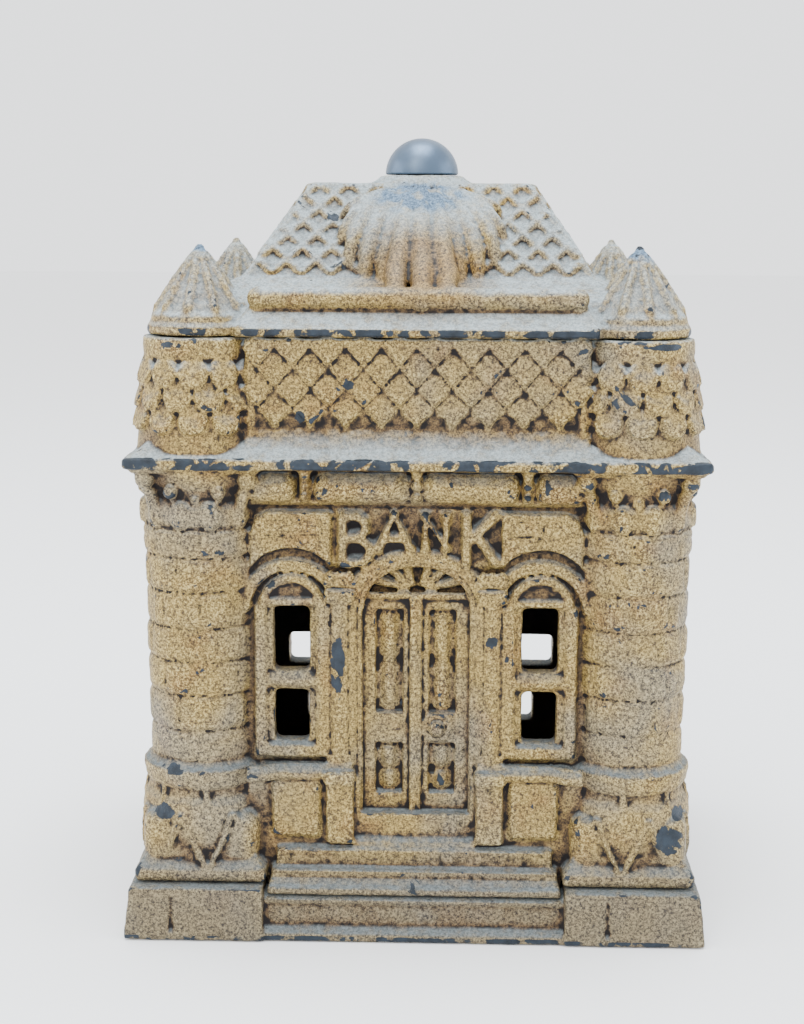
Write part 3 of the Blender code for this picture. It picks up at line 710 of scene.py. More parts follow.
def slate(x, z, facing, wall, along="X"):
    """One diamond slate, thick at its lower point and flush at the top."""
    settle()
    half = 1.42
    diagonal = 0.7071
    bpy.ops.mesh.primitive_cube_add(size=2)
    obj = bpy.context.object
    for vertex in obj.data.vertices:
        across = vertex.co.x * half
        up = vertex.co.z * half
        a = (across + up) * diagonal * 1.32
        b = (up - across) * diagonal * 1.50
        lift = 1.0 - 0.15 * (b + 3.0)
        out = wall + (max(lift, -0.45) if vertex.co.y > 0 else -1.3)
        if along == "X":
            vertex.co = Vector((x + a, facing * out, z + b)) * MM
        else:
            vertex.co = Vector((facing * out, x + a, z + b)) * MM
    obj.data.update()
    bpy.ops.object.mode_set(mode="EDIT")
    bpy.ops.mesh.select_all(action="SELECT")
    bpy.ops.mesh.normals_make_consistent(inside=False)
    bpy.ops.object.mode_set(mode="OBJECT")
    return obj


def slated_roof(facing, skip=None):
    """Rows of slates on the steep roof. skip leaves a field bare: half width, lowest and highest row."""
    pieces = []
    for row, z in enumerate(SLATE_ROWS):
        shift = SLATE_PITCH / 2 if row % 2 else 0.0
        for i in range(-5, 6):
            x = i * SLATE_PITCH + shift
            if abs(x) > 28.4 or (skip and abs(x) < skip[0] and skip[1] < z < skip[2]):
                continue
            pieces.append(slate(x, z, facing, MANSARD_Y))
    pieces.append(face_bar(facing, -29.5, 29.5, 33.0, 35.9, 108.7, BODY_TOP, 0.2))
    for side in (-1, 1):
        edge = [(side * 29.4, facing * 35.3, 93.0), (side * 29.6, facing * 35.0, 109.0)]
        pieces.append(rail(edge, 0.5, 2))
    return pieces


# ------------------------------------------------------------ the front


def sill_and_ring(facing):
    """Ledge that runs from the tower ring past the window to the door pedestal."""
    pieces = []
    for side in (-1, 1):
        points = []
        for i in range(15):
            share = i / 14
            x = 16.0 + 14.6 * share
            swing = 1 / (1 + math.exp(-(x - 26.6) * 1.05))
            points.append((side * x, facing * (35.4 + 3.0 * swing), 30.4 + 0.3 * swing))
        pieces.append(rail(points, 1.1, 3))
        upper = [(x, y, z + 1.0) for x, y, z in points]
        pieces.append(rail([(x, y * 0.985, z) for x, y, z in upper], 0.9, 3))
        x0, x1 = sorted((side * 15.5, side * 28.5))
        pieces.append(face_bar(facing, x0, x1, 31.0, 35.3, 29.4, 31.6, 0.3))
    return pieces


def window_frames():
    """Jambs, arch, transoms and filled heads of the two front windows."""
    pieces = []
    for side in (-1, 1):
        middle = side * WINDOW_X
        outer = arched(middle - 6.5, middle + 6.5, 32.6, 60.6, 66.6)
        pieces.append(plate(outer, -1, 31.0, 33.6))
        for jamb in (-1, 1):
            x = middle + jamb * 5.7
            pieces.append(face_bar(-1, x - 1.05, x + 1.05, 32.0, 34.8, 33.4, 61.6, 0.35))
            inner = middle + jamb * 4.1
            pieces.append(face_bar(-1, inner - 0.4, inner + 0.4, 32.0, 33.9, 34.6, 62.4, 0.2))
        pieces.append(rail(arc_points(middle, 61.4, 5.4, 0, 180, -34.0), 0.8, 3))
        pieces.append(plate(arched(middle - 4.6, middle + 4.6, 62.0, 62.6, 66.4), -1, 31.0, 33.8))
        pieces.append(face_bar(-1, middle - 4.9, middle + 4.9, 32.0, 34.6, 61.8, 63.0, 0.3))
        pieces.append(face_bar(-1, middle - 4.9, middle + 4.9, 32.0, 34.4, 46.4, 48.9, 0.4))
        pieces.append(face_bar(-1, middle - 4.9, middle + 4.9, 32.0, 34.9, 47.2, 48.0, 0.3))
        pieces.append(face_bar(-1, middle - 5.2, middle + 5.2, 32.0, 34.7, 33.2, 35.6, 0.4))
        band = []
        for x, _, z in arc_points(middle, 60.6, 9.6, 0, 180, 0.0, 20):
            band.append((x, z))
        for x, _, z in reversed(arc_points(middle, 60.6, 7.6, 0, 180, 0.0, 20)):
            band.append((x, z))
        pieces.append(plate(band, -1, 31.0, 34.2))
    return pieces


def window_cores():
    tools = []
    for side in (-1, 1):
        middle = side * WINDOW_X
        tools.append(face_bar(-1, middle - 3.3, middle + 3.3, 20.0, 50.0, 49.5, 61.6, 0.9))
        tools.append(face_bar(-1, middle - 3.2, middle + 3.2, 20.0, 50.0, 36.2, 45.9, 0.9))
    return tools


def upper_panel():
    """The raised plate above the windows, its lower edge arched over each one."""
    pieces = []
    wide = 2.4
    for side in (-1, 1):
        outline = [(side * 15.5, 79.0), (side * 15.5, 69.6)]
        for i in range(13):
            turn = math.radians(146 - 9.33 * i)
            outline.append((side * (22.7 + 8.7 * math.cos(turn)), 64.8 + 7.6 * math.sin(turn)))
        outline += [(side * 29.9, 68.8), (side * 29.9, 75.6), (side * 28.9, 78.0), (side * 26.8, 79.0)]
        pieces.append(plate(outline, -1, 32.0, 34.7))
        for x, z in ((20.0, 76.2), (25.6, 76.2), (19.0, 73.6)):
            x0, x1 = sorted((side * (x - wide), side * (x + wide)))
            pieces.append(face_bar(-1, x0, x1, 33.0, 35.05, z - 0.9, z + 0.9, 0.2))
    return pieces


LETTER_B = (
    ((-13.3, 69.9), (-13.3, 78.4)),
    ((-13.3, 78.3), (-10.6, 78.3), (-9.3, 77.4), (-9.2, 75.8), (-10.4, 74.6), (-13.0, 74.3)),
    ((-12.6, 74.3), (-10.0, 74.1), (-8.5, 72.9), (-8.5, 71.1), (-10.0, 69.9), (-13.3, 69.8)),
)
LETTER_A = (((-6.9, 72.3), (-4.0, 78.7), (-1.1, 72.5)), ((-5.8, 74.3), (-2.2, 74.4)))
LETTER_N = (((1.6, 72.4), (1.6, 78.5), (5.3, 72.6), (5.3, 78.5)),)
LETTER_K = (((9.0, 69.8), (9.0, 78.7)), ((14.2, 78.7), (9.6, 74.2)), ((10.8, 75.0), (14.4, 69.9)))


def lettering():
    """The plain generic word BANK in raised strokes."""
    pieces = []
    for letter in (LETTER_B, LETTER_A, LETTER_N, LETTER_K):
        for stroke in letter:
            for depth, width in ((33.9, 0.98), (34.6, 0.80)):
                points = [(x, -depth, z) for x, z in stroke]
                pieces.append(rail(points, width, 3))
            for x, z in stroke:
                pieces.append(bead(x, -34.0, z, 0.98, 0.9, 0.98))
    field = [(-14.9, 69.0), (15.6, 69.0), (15.6, 79.6), (-14.9, 79.6)]
    pieces.append(plate(field, -1, 32.0, 33.55))
    return pieces


def door_arch():
    """Stepped arch and jambs round the door."""
    pieces = []
    for radius, out, thick in ((11.6, 34.0, 0.75), (10.2, 33.5, 0.7)):
        points = [(-radius, -out, 22.6), (-radius, -out, 61.6)]
        for x, y, z in reversed(arc_points(0.2, 61.6, radius, 0, 180, -out, 18)):
            points.append((x, y, 61.6 + (z - 61.6) * 0.79))
        points += [(radius + 0.2, -out, 61.6), (radius + 0.2, -out, 22.6)]
        pieces.append(rail(points, thick, 3))
    crown = []
    for x, y, z in arc_points(0.2, 62.2, 12.2, 22, 158, -33.6, 16):
        crown.append((x, y, 62.2 + (z - 62.2) * 0.76))
    pieces.append(rail(crown, 0.9, 3))
    return pieces


def pilasters():
    pieces = []
    for side in (-1, 1):
        x0, x1 = sorted((side * 11.7, side * 16.0))
        middle = side * 13.8
        pieces.append(face_bar(-1, x0, x1, 31.5, 33.2, 30.0, 64.0, 0.3))
        pieces.append(rail([(middle, -33.4, 33.0), (middle, -33.4, 62.6)], (2.1, 1.95), 4))
        for z, wide, out in (
            (62.9, 2.5, 35.3),
            (64.3, 2.8, 35.7),
            (66.0, 3.1, 35.2),
            (31.9, 2.6, 35.6),
            (33.2, 2.3, 35.2),
        ):
            pieces.append(face_bar(-1, middle - wide, middle + wide, 31.5, out, z - 0.5, z + 0.5, 0.4))
        for k in (-1, 0, 1):
            pieces.append(bead(middle + k * 1.7, -34.6, 67.4, 0.9, 0.8, 1.1))
        # Pedestal below, with its moulded cap.
        pieces.append(face_bar(-1, *sorted((side * 11.2, side * 16.2)), 31.0, 36.6, 17.2, 29.2, 0.5))
        pieces.append(face_bar(-1, *sorted((side * 10.9, side * 16.6)), 31.0, 37.1, 28.6, 31.2, 0.5))
        # Stone panel under the window.
        pieces.append(face_bar(-1, *sorted((side * 17.4, side * 26.2)), 31.0, 35.9, 18.4, 28.9, 0.6))
        pieces.append(face_bar(-1, *sorted((side * 25.8, side * 28.2)), 31.0, 34.6, 16.0, 29.0, 0.5))
    return pieces


def door_leaves():
    """Two leaves with sunk panels, carved lens shapes and ovals, a cover strip, fan light and knob."""
    pieces = []
    outer = 7.3
    for side, inner in ((-1, 2.3), (1, 2.4)):
        pieces.append(face_bar(-1, *sorted((side * 1.0, side * 9.9)), 30.0, 31.2, 22.2, 63.0))
        for x0, x1 in ((1.0, inner), (outer, 9.9)):
            pieces.append(face_bar(-1, *sorted((side * x0, side * x1)), 30.0, 32.5, 22.2, 62.9, 0.25))
        for z0, z1 in ((22.2, 26.0), (35.6, 41.4), (60.8, 62.9)):
            pieces.append(face_bar(-1, *sorted((side * 1.0, side * 9.9)), 30.0, 32.5, z0, z1, 0.25))
        middle = side * (outer + inner) / 2
        for z, rx, rz in ((56.0, 1.55, 4.6), (46.4, 1.55, 4.6), (33.0, 1.5, 2.3), (28.6, 1.2, 1.9)):
            pieces.append(bead(middle, -31.3, z, rx, 1.5, rz))
            ring = []
            for i in range(17):
                turn = 2 * math.pi * i / 16
                ring.append((middle + rx * 1.3 * math.sin(turn), -31.4, z + rz * 1.05 * math.cos(turn)))
            pieces.append(rail(ring, 0.35, 1))
        pieces.append(bead(middle, -31.5, 51.2, 1.2, 0.9, 0.7))
    pieces.append(face_bar(-1, -1.05, 1.05, 30.0, 33.3, 22.2, 63.4, 0.3))
    pieces.append(rail([(-0.55, -33.2, 22.6), (-0.55, -33.2, 63.2)], 0.6, 2))
    pieces.append(rail([(-9.8, -32.6, 63.5), (10.0, -32.6, 63.5)], 0.7, 2))
    pieces.append(bead(3.9, -33.2, 38.6, 1.5, 1.5, 1.5))
    knob = []
    for i in range(13):
        turn = 2 * math.pi * i / 12
        knob.append((3.9 + 2.4 * math.cos(turn), -32.7, 38.6 + 2.4 * math.sin(turn)))
    pieces.append(rail(knob, 0.45, 2))
    for degrees in (14, 40, 66, 114, 140, 166):
        turn = math.radians(degrees)
        reach = 8.6 - 3.4 * math.sin(turn) ** 2
        start = (0.2 + 1.6 * math.cos(turn), -31.8, 64.4 + 0.8 * math.sin(turn))
        end = (0.2 + reach * math.cos(turn), -31.8, 64.4 + reach * math.sin(turn))
        pieces.append(rail([start, end], (0.45, 1.05), 2))
        pieces.append(bead(*end, 1.05, 0.9, 1.0))
    return pieces


def door_recess():
    points = arched(-10.0, 10.2, 22.6, 61.6, 69.6, 18)
    return plate(points, -1, 31.0, 50.0)


def front_steps():
    """Three worn steps and the landing before the door."""
    pieces = []
    for half, out, low, top in (
        (26.9, 40.0, BODY_FOOT, 9.9),
        (26.6, 39.0, 9.4, 11.0),
        (26.3, 38.3, 10.6, 12.9),
        (25.4, 36.6, 12.4, 16.3),
    ):
        pieces.append(face_bar(-1, -half, half, 29.0, out, low, top, 0.35))
    for half, out, z in ((26.7, 39.7, 9.7), (26.1, 38.1, 12.6), (25.2, 36.4, 16.0)):
        pieces.append(rail([(-half, -out, z), (half, -out, z)], 0.42, 2))
    landing = [(-29.0, 15.0), (-36.2, 15.0), (-36.0, 17.4), (-34.6, 18.6), (-31.6, 22.6), (-29.0, 22.8)]
    pieces.append(moulded_run(landing, "X", -11.2, 11.2))
    return pieces


# ------------------------------------------------------------ the back


def rear_details():
    """Plain strips, bands, two low window openings a side and the coin slot's frame."""
    pieces = []
    for x in (-12.0, 0.0, 12.0):
        pieces.append(face_bar(1, x - 2.2, x + 2.2, 31.0, 34.8, 31.0, 78.6, 0.5))
        for z in (33.0, 76.6):
            pieces.append(face_bar(1, x - 2.7, x + 2.7, 31.0, 35.3, z - 1.0, z + 1.0, 0.4))
    for z in (52.8, 66.8, 78.8):
        pieces.append(face_bar(1, -29.5, 29.5, 31.0, 34.3, z - 0.8, z + 0.8, 0.3))
    for low, high in ((31.5, 36.0), (37.2, 41.8), (43.0, 47.4), (48.6, 52.0)):
        for x in (-24.4, 6.0, -6.0, 24.4):
            if abs(x) > 20 and low < 43.0:
                continue
            pieces.append(face_bar(1, x - 4.6, x + 4.6, 31.0, 33.5, low, high, 0.35))
    for side in (-1, 1):
        for x, z, wide, tall in ((24.3, 37.1, 5.4, 4.3), (20.0, 24.4, 5.5, 4.2)):
            x0, x1 = sorted((side * (x - wide), side * (x + wide)))
            pieces.append(face_bar(1, x0, x1, 31.0, 35.6, z - tall, z + tall, 0.5))
        pieces.append(plate(arched(side * 19.5 - 5.4, side * 19.5 + 5.4, 54.6, 60.2, 65.4), 1, 31.0, 34.2))
        pieces.append(rail(arc_points(side * 19.5, 60.2, 5.2, 0, 180, 34.2), 0.6, 2))
    pieces.append(face_bar(1, -18.9, 18.9, 32.0, 37.0, 97.0, 106.6, 0.8))
    frame_line = [(-17.6, 37.0, 98.2), (17.6, 37.0, 98.2), (17.6, 37.0, 105.4)]
    frame_line += [(-17.6, 37.0, 105.4), (-17.6, 37.0, 98.2)]
    pieces.append(rail(frame_line, 0.4, 2))
    return pieces


def rear_cores():
    tools = [face_bar(1, -15.9, 15.9, 20.0, 45.0, SLOT_Z - 2.4, SLOT_Z + 2.4, 0.5)]
    for side in (-1, 1):
        tools.append(face_bar(1, *sorted((side * 19.7, side * 28.9)), 20.0, 45.0, 33.7, 40.5, 0.8))
        tools.append(face_bar(1, *sorted((side * 15.3, side * 24.7)), 20.0, 45.0, 21.1, 27.7, 0.8))
    return tools


# ------------------------------------------------------------ side walls


def side_bar(side, y0, y1, out0, out1, z0, z1, soft=0.0):
    x0, x1 = sorted((side * out0, side * out1))
    return bar(x0, x1, y0, y1, z0, z1, soft)


def side_wall(side):
    outline = [
        (41.4, 8.7),
        (46.6, 8.7),
        (46.6, 29.4),
        (SIDE_X, 31.5),
        (SIDE_X, 80.0),
        (45.5, 80.5),
        (45.5, 86.6),
        (48.4, 86.9),
        (50.6, 87.2),
        (51.9, 87.6),
        (51.9, 89.0),
        (50.9, 89.4),
        (49.2, 90.6),
        (47.9, 92.4),
        (MANSARD_X, 94.6),
        (MANSARD_X, BODY_TOP),
        (44.0, BODY_TOP),
        (44.0, 92.6),
        (46.0, 88.2),
        (42.6, 84.5),
        (41.4, 84.0),
    ]
    pieces = [moulded_run([(side * out, z) for out, z in outline], "Y", -14.2, 14.2)]
    for end in (-1, 1):
        y0, y1 = sorted((end * 12.0, end * TONGUE_END))
        pieces.append(side_bar(side, y0, y1, 41.5, 44.4, 10.6, 83.3))
    for y in (-7.2, 7.2):
        pieces.append(side_bar(side, y - 5.4, y + 5.4, 43.0, 45.5, 31.6, 62.0, 0.4))
        settle()
        bpy.ops.mesh.primitive_cylinder_add(
            vertices=40,
            radius=5.4 * MM,
            depth=2.6 * MM,
            location=Vector((side * 44.2, y, 62.0)) * MM,
            rotation=(0.0, math.pi / 2, 0.0),
        )
        bpy.ops.object.transform_apply(location=True, rotation=True, scale=True)
        pieces.append(bpy.context.object)
        hood = []
        for i in range(15):
            turn = math.pi * i / 14
            hood.append((side * 45.3, y + 5.0 * math.cos(turn), 62.2 + 4.6 * math.sin(turn)))
        pieces.append(rail(hood, 0.75, 3))
        for jamb in (-1, 1):
            edge = y + jamb * 4.6
            pieces.append(side_bar(side, edge - 0.7, edge + 0.7, 43.0, 46.2, 33.0, 62.2, 0.3))
        for z, out in ((34.0, 46.4), (47.6, 46.2), (63.4, 45.9)):
            pieces.append(side_bar(side, y - 4.9, y + 4.9, 43.0, out, z - 0.8, z + 0.8, 0.3))
    for y in (-7.2, 7.2):
        pieces.append(side_bar(side, y - 6.3, y + 6.3, 43.0, 47.6, 80.9, 86.2, 1.7))
    pieces.append(side_bar(side, -1.0, 1.0, 43.0, 47.9, 81.0, 87.4, 0.3))
    for z, size in ((86.0, 1.0), (84.2, 0.9), (82.2, 0.75)):
        pieces.append(bead(side * 47.8, 0.0, z, 1.0, size, size))
    for z in (71.4, 76.2):
        pieces.append(side_bar(side, -13.6, 13.6, 43.0, 45.9, z - 1.8, z + 1.8, 0.5))
    for row, z in enumerate(SLATE_ROWS):
        for i in range(-2, 3):
            y = i * SLATE_PITCH + (SLATE_PITCH / 2 if row % 2 else 0.0)
            if abs(y) < 12.4:
                pieces.append(slate(y, z, side, MANSARD_X, "Y"))
    pieces.append(side_bar(side, -14.0, 14.0, 45.0, 47.8, 108.7, BODY_TOP, 0.2))
    for z in (30.4, 12.0):
        line = [(side * (46.9 if z > 20 else 46.4), y, z) for y in (-14.0, 14.0)]
        pieces.append(rail(line, 1.0, 3))
    for y in (-9.3, 0.0, 9.3):
        pieces.append(side_bar(side, y - 4.1, y + 4.1, 44.0, 47.3, 14.2, 28.4, 0.6))
    return pieces


def side_cores(side):
    tools = []
    for y in (-7.2, 7.2):
        tools.append(side_bar(side, y - 3.5, y + 3.5, 44.4, 60.0, 48.7, 62.4, 0.8))
        tools.append(side_bar(side, y - 3.5, y + 3.5, 44.4, 60.0, 35.4, 46.5, 0.8))
    return tools


# ------------------------------------------------------------ roof


def slab(outline, z0, z1, share=(1.0, 1.0)):
    """A flat plate of any outline, its top drawn in by a share."""
    settle()
    bpy.ops.mesh.primitive_circle_add(vertices=len(outline), radius=MM, fill_type="NGON")
    obj = bpy.context.object
    for vertex, (x, y) in zip(obj.data.vertices, outline):
        vertex.co = (x * MM, y * MM, z0 * MM)
    obj.data.update()
    bpy.ops.object.mode_set(mode="EDIT")
    bpy.ops.mesh.select_all(action="SELECT")
    bpy.ops.mesh.extrude_region_move(TRANSFORM_OT_translate={"value": (0, 0, (z1 - z0) * MM)})
    bpy.ops.transform.resize(value=(share[0], share[1], 1.0), center_override=(0, 0, z1 * MM))
    bpy.ops.mesh.select_all(action="SELECT")
    bpy.ops.mesh.normals_make_consistent(inside=False)
    bpy.ops.object.mode_set(mode="OBJECT")
    return obj


def hip_half(z):
    """Half width and half depth of the steep roof at a height."""
    share = (z - HIP_FOOT) / (ROOF_TOP - HIP_FOOT)
    return tuple(foot + (top - foot) * share for foot, top in zip(HIP_HALF, TOP_HALF))


def lattice():
    """Diamond lattice of thin ridges on the four slopes."""
    pieces = []
    for along, limit, count in (("X", 0, 13), ("Y", 1, 10)):
        for face in (-1, 1):
            for foot in range(-count, count + 1):
                for lean in (-1, 1):
                    points = []
                    for i in range(17):
                        z = 121.0 + 16.0 * i / 16
                        place = foot * 5.4 + lean * 1.15 * (z - 121.0)
                        half = hip_half(z)
                        if abs(place) > half[limit] - 0.5:
                            continue
                        across = face * (half[1 - limit] + 0.25)
                        points.append((place, across, z) if along == "X" else (across, place, z))
                    if len(points) > 1:
                        pieces.append(rail(points, 0.62, 1))
    return pieces


SHELL_TIPS = (
    (-14.2, 131.4, 0.85),
    (-14.4, 126.6, 1.1),
    (-12.8, 122.8, 1.5),
    (-9.8, 120.2, 1.65),
    (-6.6, 118.4, 1.6),
    (7.4, 118.4, 1.6),
    (10.6, 120.2, 1.65),
    (13.6, 123.2, 1.5),
    (15.2, 127.0, 1.1),
    (14.6, 131.8, 0.85),
)
MIDDLE_LOBES = ((-3.1, -4.2, 117.4, 1.75), (0.3, 0.7, 115.4, 1.95), (3.7, 5.2, 117.4, 1.75))


def shell(face):
    """Scallop of long lobes that hangs over the steep roof below the collar."""
    pieces = []
    for tip_x, tip_z, thick in SHELL_TIPS:
        points = []
        radii = []
        start = 0.50 * tip_x
        for i in range(9):
            share = i / 8
            z = 136.0 - (136.0 - tip_z) * share
            fan = math.sin(share * math.pi / 2)
            x = start + (tip_x - start) * fan
            proud = 2.3 * math.sin(math.pi * min(1.0, 0.22 + share * 0.78)) + 0.1
            points.append((x, face * (hip_half(z)[1] + proud), z))
            radii.append(thick * (0.5 + 0.62 * math.sin(math.pi * (0.05 + 0.83 * share))))
        pieces.append(rail(points, radii, 3))
        pieces.append(bead(*points[-1], thick * 0.8, thick * 0.7, thick * 1.0))
    bed = [(-3.0, 136.0), (-12.6, 131.0), (-12.6, 126.4), (-8.4, 121.6), (-2.6, 117.8)]
    bed += [(2.8, 117.8), (8.8, 121.6), (13.2, 126.4), (13.2, 131.0), (3.0, 136.0)]
    for x, z in bed:
        inner = (0.35 * x, face * (hip_half(min(z + 4.0, 137.0))[1] + 0.5), min(z + 4.0, 137.0))
        pieces.append(rail([inner, (x, face * (hip_half(z)[1] - 0.4), z)], 0.8, 2))
    for x0, tip, foot, thick in MIDDLE_LOBES:
        path = [
            (x0 * 0.8, face * 11.6, 136.0),
            (x0, face * 17.4, 130.2),
            (x0 * 1.1, face * 22.2, 125.2),
            (tip, face * 27.6, 120.8),
            (tip * 0.95, face * 31.6, 118.2),
            (tip * 0.8, face * 34.6, foot),
        ]
        pieces.append(rail(path, [thick * share for share in (0.7, 1.0, 1.2, 1.25, 1.05, 0.5)], 3))
    return pieces


def pleats():
    """Short pleated skirt round the collar, cut short over its two ends."""
    pieces = []
    count = 28
    for i in range(count):
        turn = 2 * math.pi * (i + 0.5) / count
        points = []
        for radius, z in ((8.2, 137.8), (10.7, 136.3), (12.3, 133.6), (13.3, 130.8)):
            if abs(math.cos(turn)) > 0.93 and z < 133:
                continue
            points.append((radius * math.cos(turn), radius * math.sin(turn), z))
        pieces.append(rail(points, (0.6, 0.75, 0.8, 0.6), 2))
    return pieces


def turrets():
    """One ribbed cone, copied to the four corners."""
    profile = [(ROOF_FOOT, 9.35), (111.0, 9.6), (112.0, 9.55), (112.7, 8.9), (113.9, 8.75)]
    profile += [(114.6, 7.9), (125.3, 0.7), (126.2, 0.4)]
    parts = [post((0.0, 0.0), profile)]
    for i in range(10):
        turn = 2 * math.pi * (i + 0.25) / 10
        points = []
        for radius, z in ((8.0, 113.6), (7.7, 115.2), (4.7, 120.0), (1.3, 125.0)):
            points.append((radius * math.cos(turn), radius * math.sin(turn), z))
        parts.append(rail(points, (0.6, 0.8, 0.65, 0.35), 2))
    parts.append(bead(0.0, 0.0, 125.6, 0.9, 0.9, 0.9))
    cone = joined(parts, "turret")
    pieces = []
    for sx in (-1, 1):
        for sy in (-1, 1):
            pieces.append(copied(cone, (sx * TOWER[0], sy * TOWER[1], 0.0), (sx, sy)))
    bpy.data.objects.remove(cone)
    return pieces


def roof_body():
    corners = [(31.5, -37.0), (36.0, -30.0), (48.8, -20.0), (48.8, 20.0), (36.0, 30.0), (31.5, 37.0)]
    outline = corners + [(-x, -y) for x, y in corners]
    pieces = [slab(outline, ROOF_FOOT, 112.4)]
    pieces.append(slab(outline, 112.0, 117.6, (0.885, 0.83)))
    pieces.append(frustum((41.5, 31.0), 116.0, (33.0, 23.0), EAVES_Z))
    pieces.append(frustum(HIP_HALF, HIP_FOOT, TOP_HALF, ROOF_TOP))
    for face in (-1, 1):
        edge = [(-31.0, face * 36.9, 111.5), (31.0, face * 36.9, 111.5)]
        pieces.append(rail(edge, 0.85, 3))
        pieces.append(rail([(-28.0, face * 32.9, 117.1), (28.0, face * 32.9, 117.1)], 2.1, 4))
        pieces.append(bead(-28.0, face * 32.9, 117.1, 2.3, 2.1, 2.1))
        pieces.append(bead(28.0, face * 32.9, 117.1, 2.3, 2.1, 2.1))
        pieces.append(rail([(face * 44.0, -17.5, 117.0), (face * 44.0, 17.5, 117.0)], 2.0, 4))
        pieces.append(rail([(face * 48.2, -19.5, 111.5), (face * 48.2, 19.5, 111.5)], 0.6, 3))
        pieces.append(rail([(-20.2, face * 7.7, 137.0), (20.2, face * 7.7, 137.0)], 0.55, 2))
    for sx in (-1, 1):
        for sy in (-1, 1):
            hip = [(sx * 32.2, sy * 22.3, 119.9), (sx * 20.6, sy * 7.9, 137.0)]
            pieces.append(rail(hip, 0.5, 2))
    collar = [(130.0, 10.4), (134.6, 10.2), (136.9, 9.4), (138.3, 8.3), (138.85, 7.9)]
    pieces.append(post((0.0, 0.0), collar))
    return pieces


def roof_cores():
    tools = [bar(-40.9, 40.9, -29.3, 29.3, 105.0, 112.3)]
    tools.append(frustum((40.4, 29.0), 111.8, (36.0, 25.5), 116.2))
    tools.append(frustum((28.5, 18.2), 115.5, (17.2, 4.5), 133.6))
    tools.append(post((0.0, 0.0), [(100.0, 2.9), (150.0, 2.9)], 32))
    for sx in (-1, 1):
        for sy in (-1, 1):
            centre = (sx * TOWER[0], sy * TOWER[1])
            tools.append(post(centre, [(100.0, 6.0), (112.0, 5.2), (119.0, 1.0)], 32))
    return tools


def roof_late():
    pieces = []
    for face in (-1, 1):
        pieces.append(face_bar(face, -24.0, 24.0, 29.7, 31.8, 107.5, 113.4, 0.3))
        x0, x1 = sorted((face * 41.5, face * 43.6))
        pieces.append(bar(x0, x1, -12.0, 12.0, 107.5, 113.4, 0.3))
    return pieces


# ------------------------------------------------------------ base


def base_body():
    return [frustum((53.4, 41.85), 0.15, (52.2, 41.2), 10.15)]


def base_cores():
    tools = [bar(-27.7, 27.7, -60, 60, 8.3, 20), bar(-60, 60, -14.3, 14.3, 8.3, 20)]
    for facing in (-1, 1):
        tools.append(face_bar(facing, -27.7, 27.7, 39.6, 60, 2.2, 20))
        tools.append(face_bar(facing, -27.7, 27.7, 41.3, 60, -2, 20))
        x0, x1 = sorted((facing * 50.4, facing * 60))
        tools.append(bar(x0, x1, -14.3, 14.3, 2.2, 20))
        for x in (-44.5, 35.5):
            middle = -facing * x
            tools.append(face_bar(facing, middle - 0.8, middle + 0.8, 41.0, 60, 1.6, 8.6))
        for y in (-28.0, 28.0):
            tools.append(bar(x0 + facing * 1.9, x1 + facing * 1.9, y - 0.8, y + 0.8, 1.6, 8.6))
    tools.append(bar(-48.4, 48.4, -35.7, 35.7, -5, 5.0))
    tools.append(post((0.0, 0.0), [(-5.0, 2.9), (20.0, 2.9)], 32))
    return tools


def base_late():
    pieces = []
    for face in (-1, 1):
        pieces.append(face_bar(face, -40.7, 40.7, 27.6, 29.6, 7.0, 11.9, 0.3))
        x0, x1 = sorted((face * 38.6, face * 40.7))
        pieces.append(bar(x0, x1, -29.6, 29.6, 7.0, 11.9, 0.3))
        band = [(-27.0, face * 39.5, 7.5), (27.0, face * 39.5, 7.5)]
        pieces.append(rail(band, 0.6, 2))
    return pieces


# ------------------------------------------------------------ finishes


# Centre and reach of soft ellipsoids, in millimetres.
SCALLOP_PLACES = (
    ((0.0, -27.0, 122.0), (13.0, 13.0, 10.0)),
    ((0.0, 27.0, 122.0), (13.0, 13.0, 10.0)),
)
BLUED_PLACES = (
    ((0.0, -12.5, 134.5), (9.5, 7.0, 4.2)),
    ((0.0, 12.5, 134.5), (9.5, 7.0, 4.2)),
    ((39.3, -27.3, 124.5), (2.8, 2.8, 4.0)),
    ((-39.3, -27.3, 125.5), (1.6, 1.6, 2.0)),
)
WORN_PLACES = (
    ((-14.2, -35.5, 51.5), (1.7, 3.0, 8.0)),
    ((13.6, -35.5, 55.5), (1.8, 3.0, 1.6)),
    ((-44.5, -38.0, 31.6), (3.0, 4.0, 1.4)),
    ((-46.0, -38.0, 23.5), (2.4, 4.0, 2.0)),
    ((46.5, -37.5, 19.5), (3.4, 4.0, 3.4)),
    ((48.5, -36.0, 24.0), (1.8, 4.0, 1.8)),
    ((-12.2, -36.0, 102.0), (1.4, 2.0, 1.2)),
    ((-21.0, -36.0, 96.2), (1.6, 2.0, 1.4)),
    ((-43.0, -38.0, 109.0), (3.4, 4.0, 0.9)),
    ((44.0, -37.5, 109.2), (5.5, 4.0, 0.8)),
)
# Lowest and highest point of a chipped rim, and how far out it starts in X and in Y.
CHIPPED_RIMS = (
    (86.9, 89.6, 50.6, 38.9),
    (110.2, 112.2, 47.9, 36.6),
    (-1.0, 1.5, 52.3, 40.9),
)


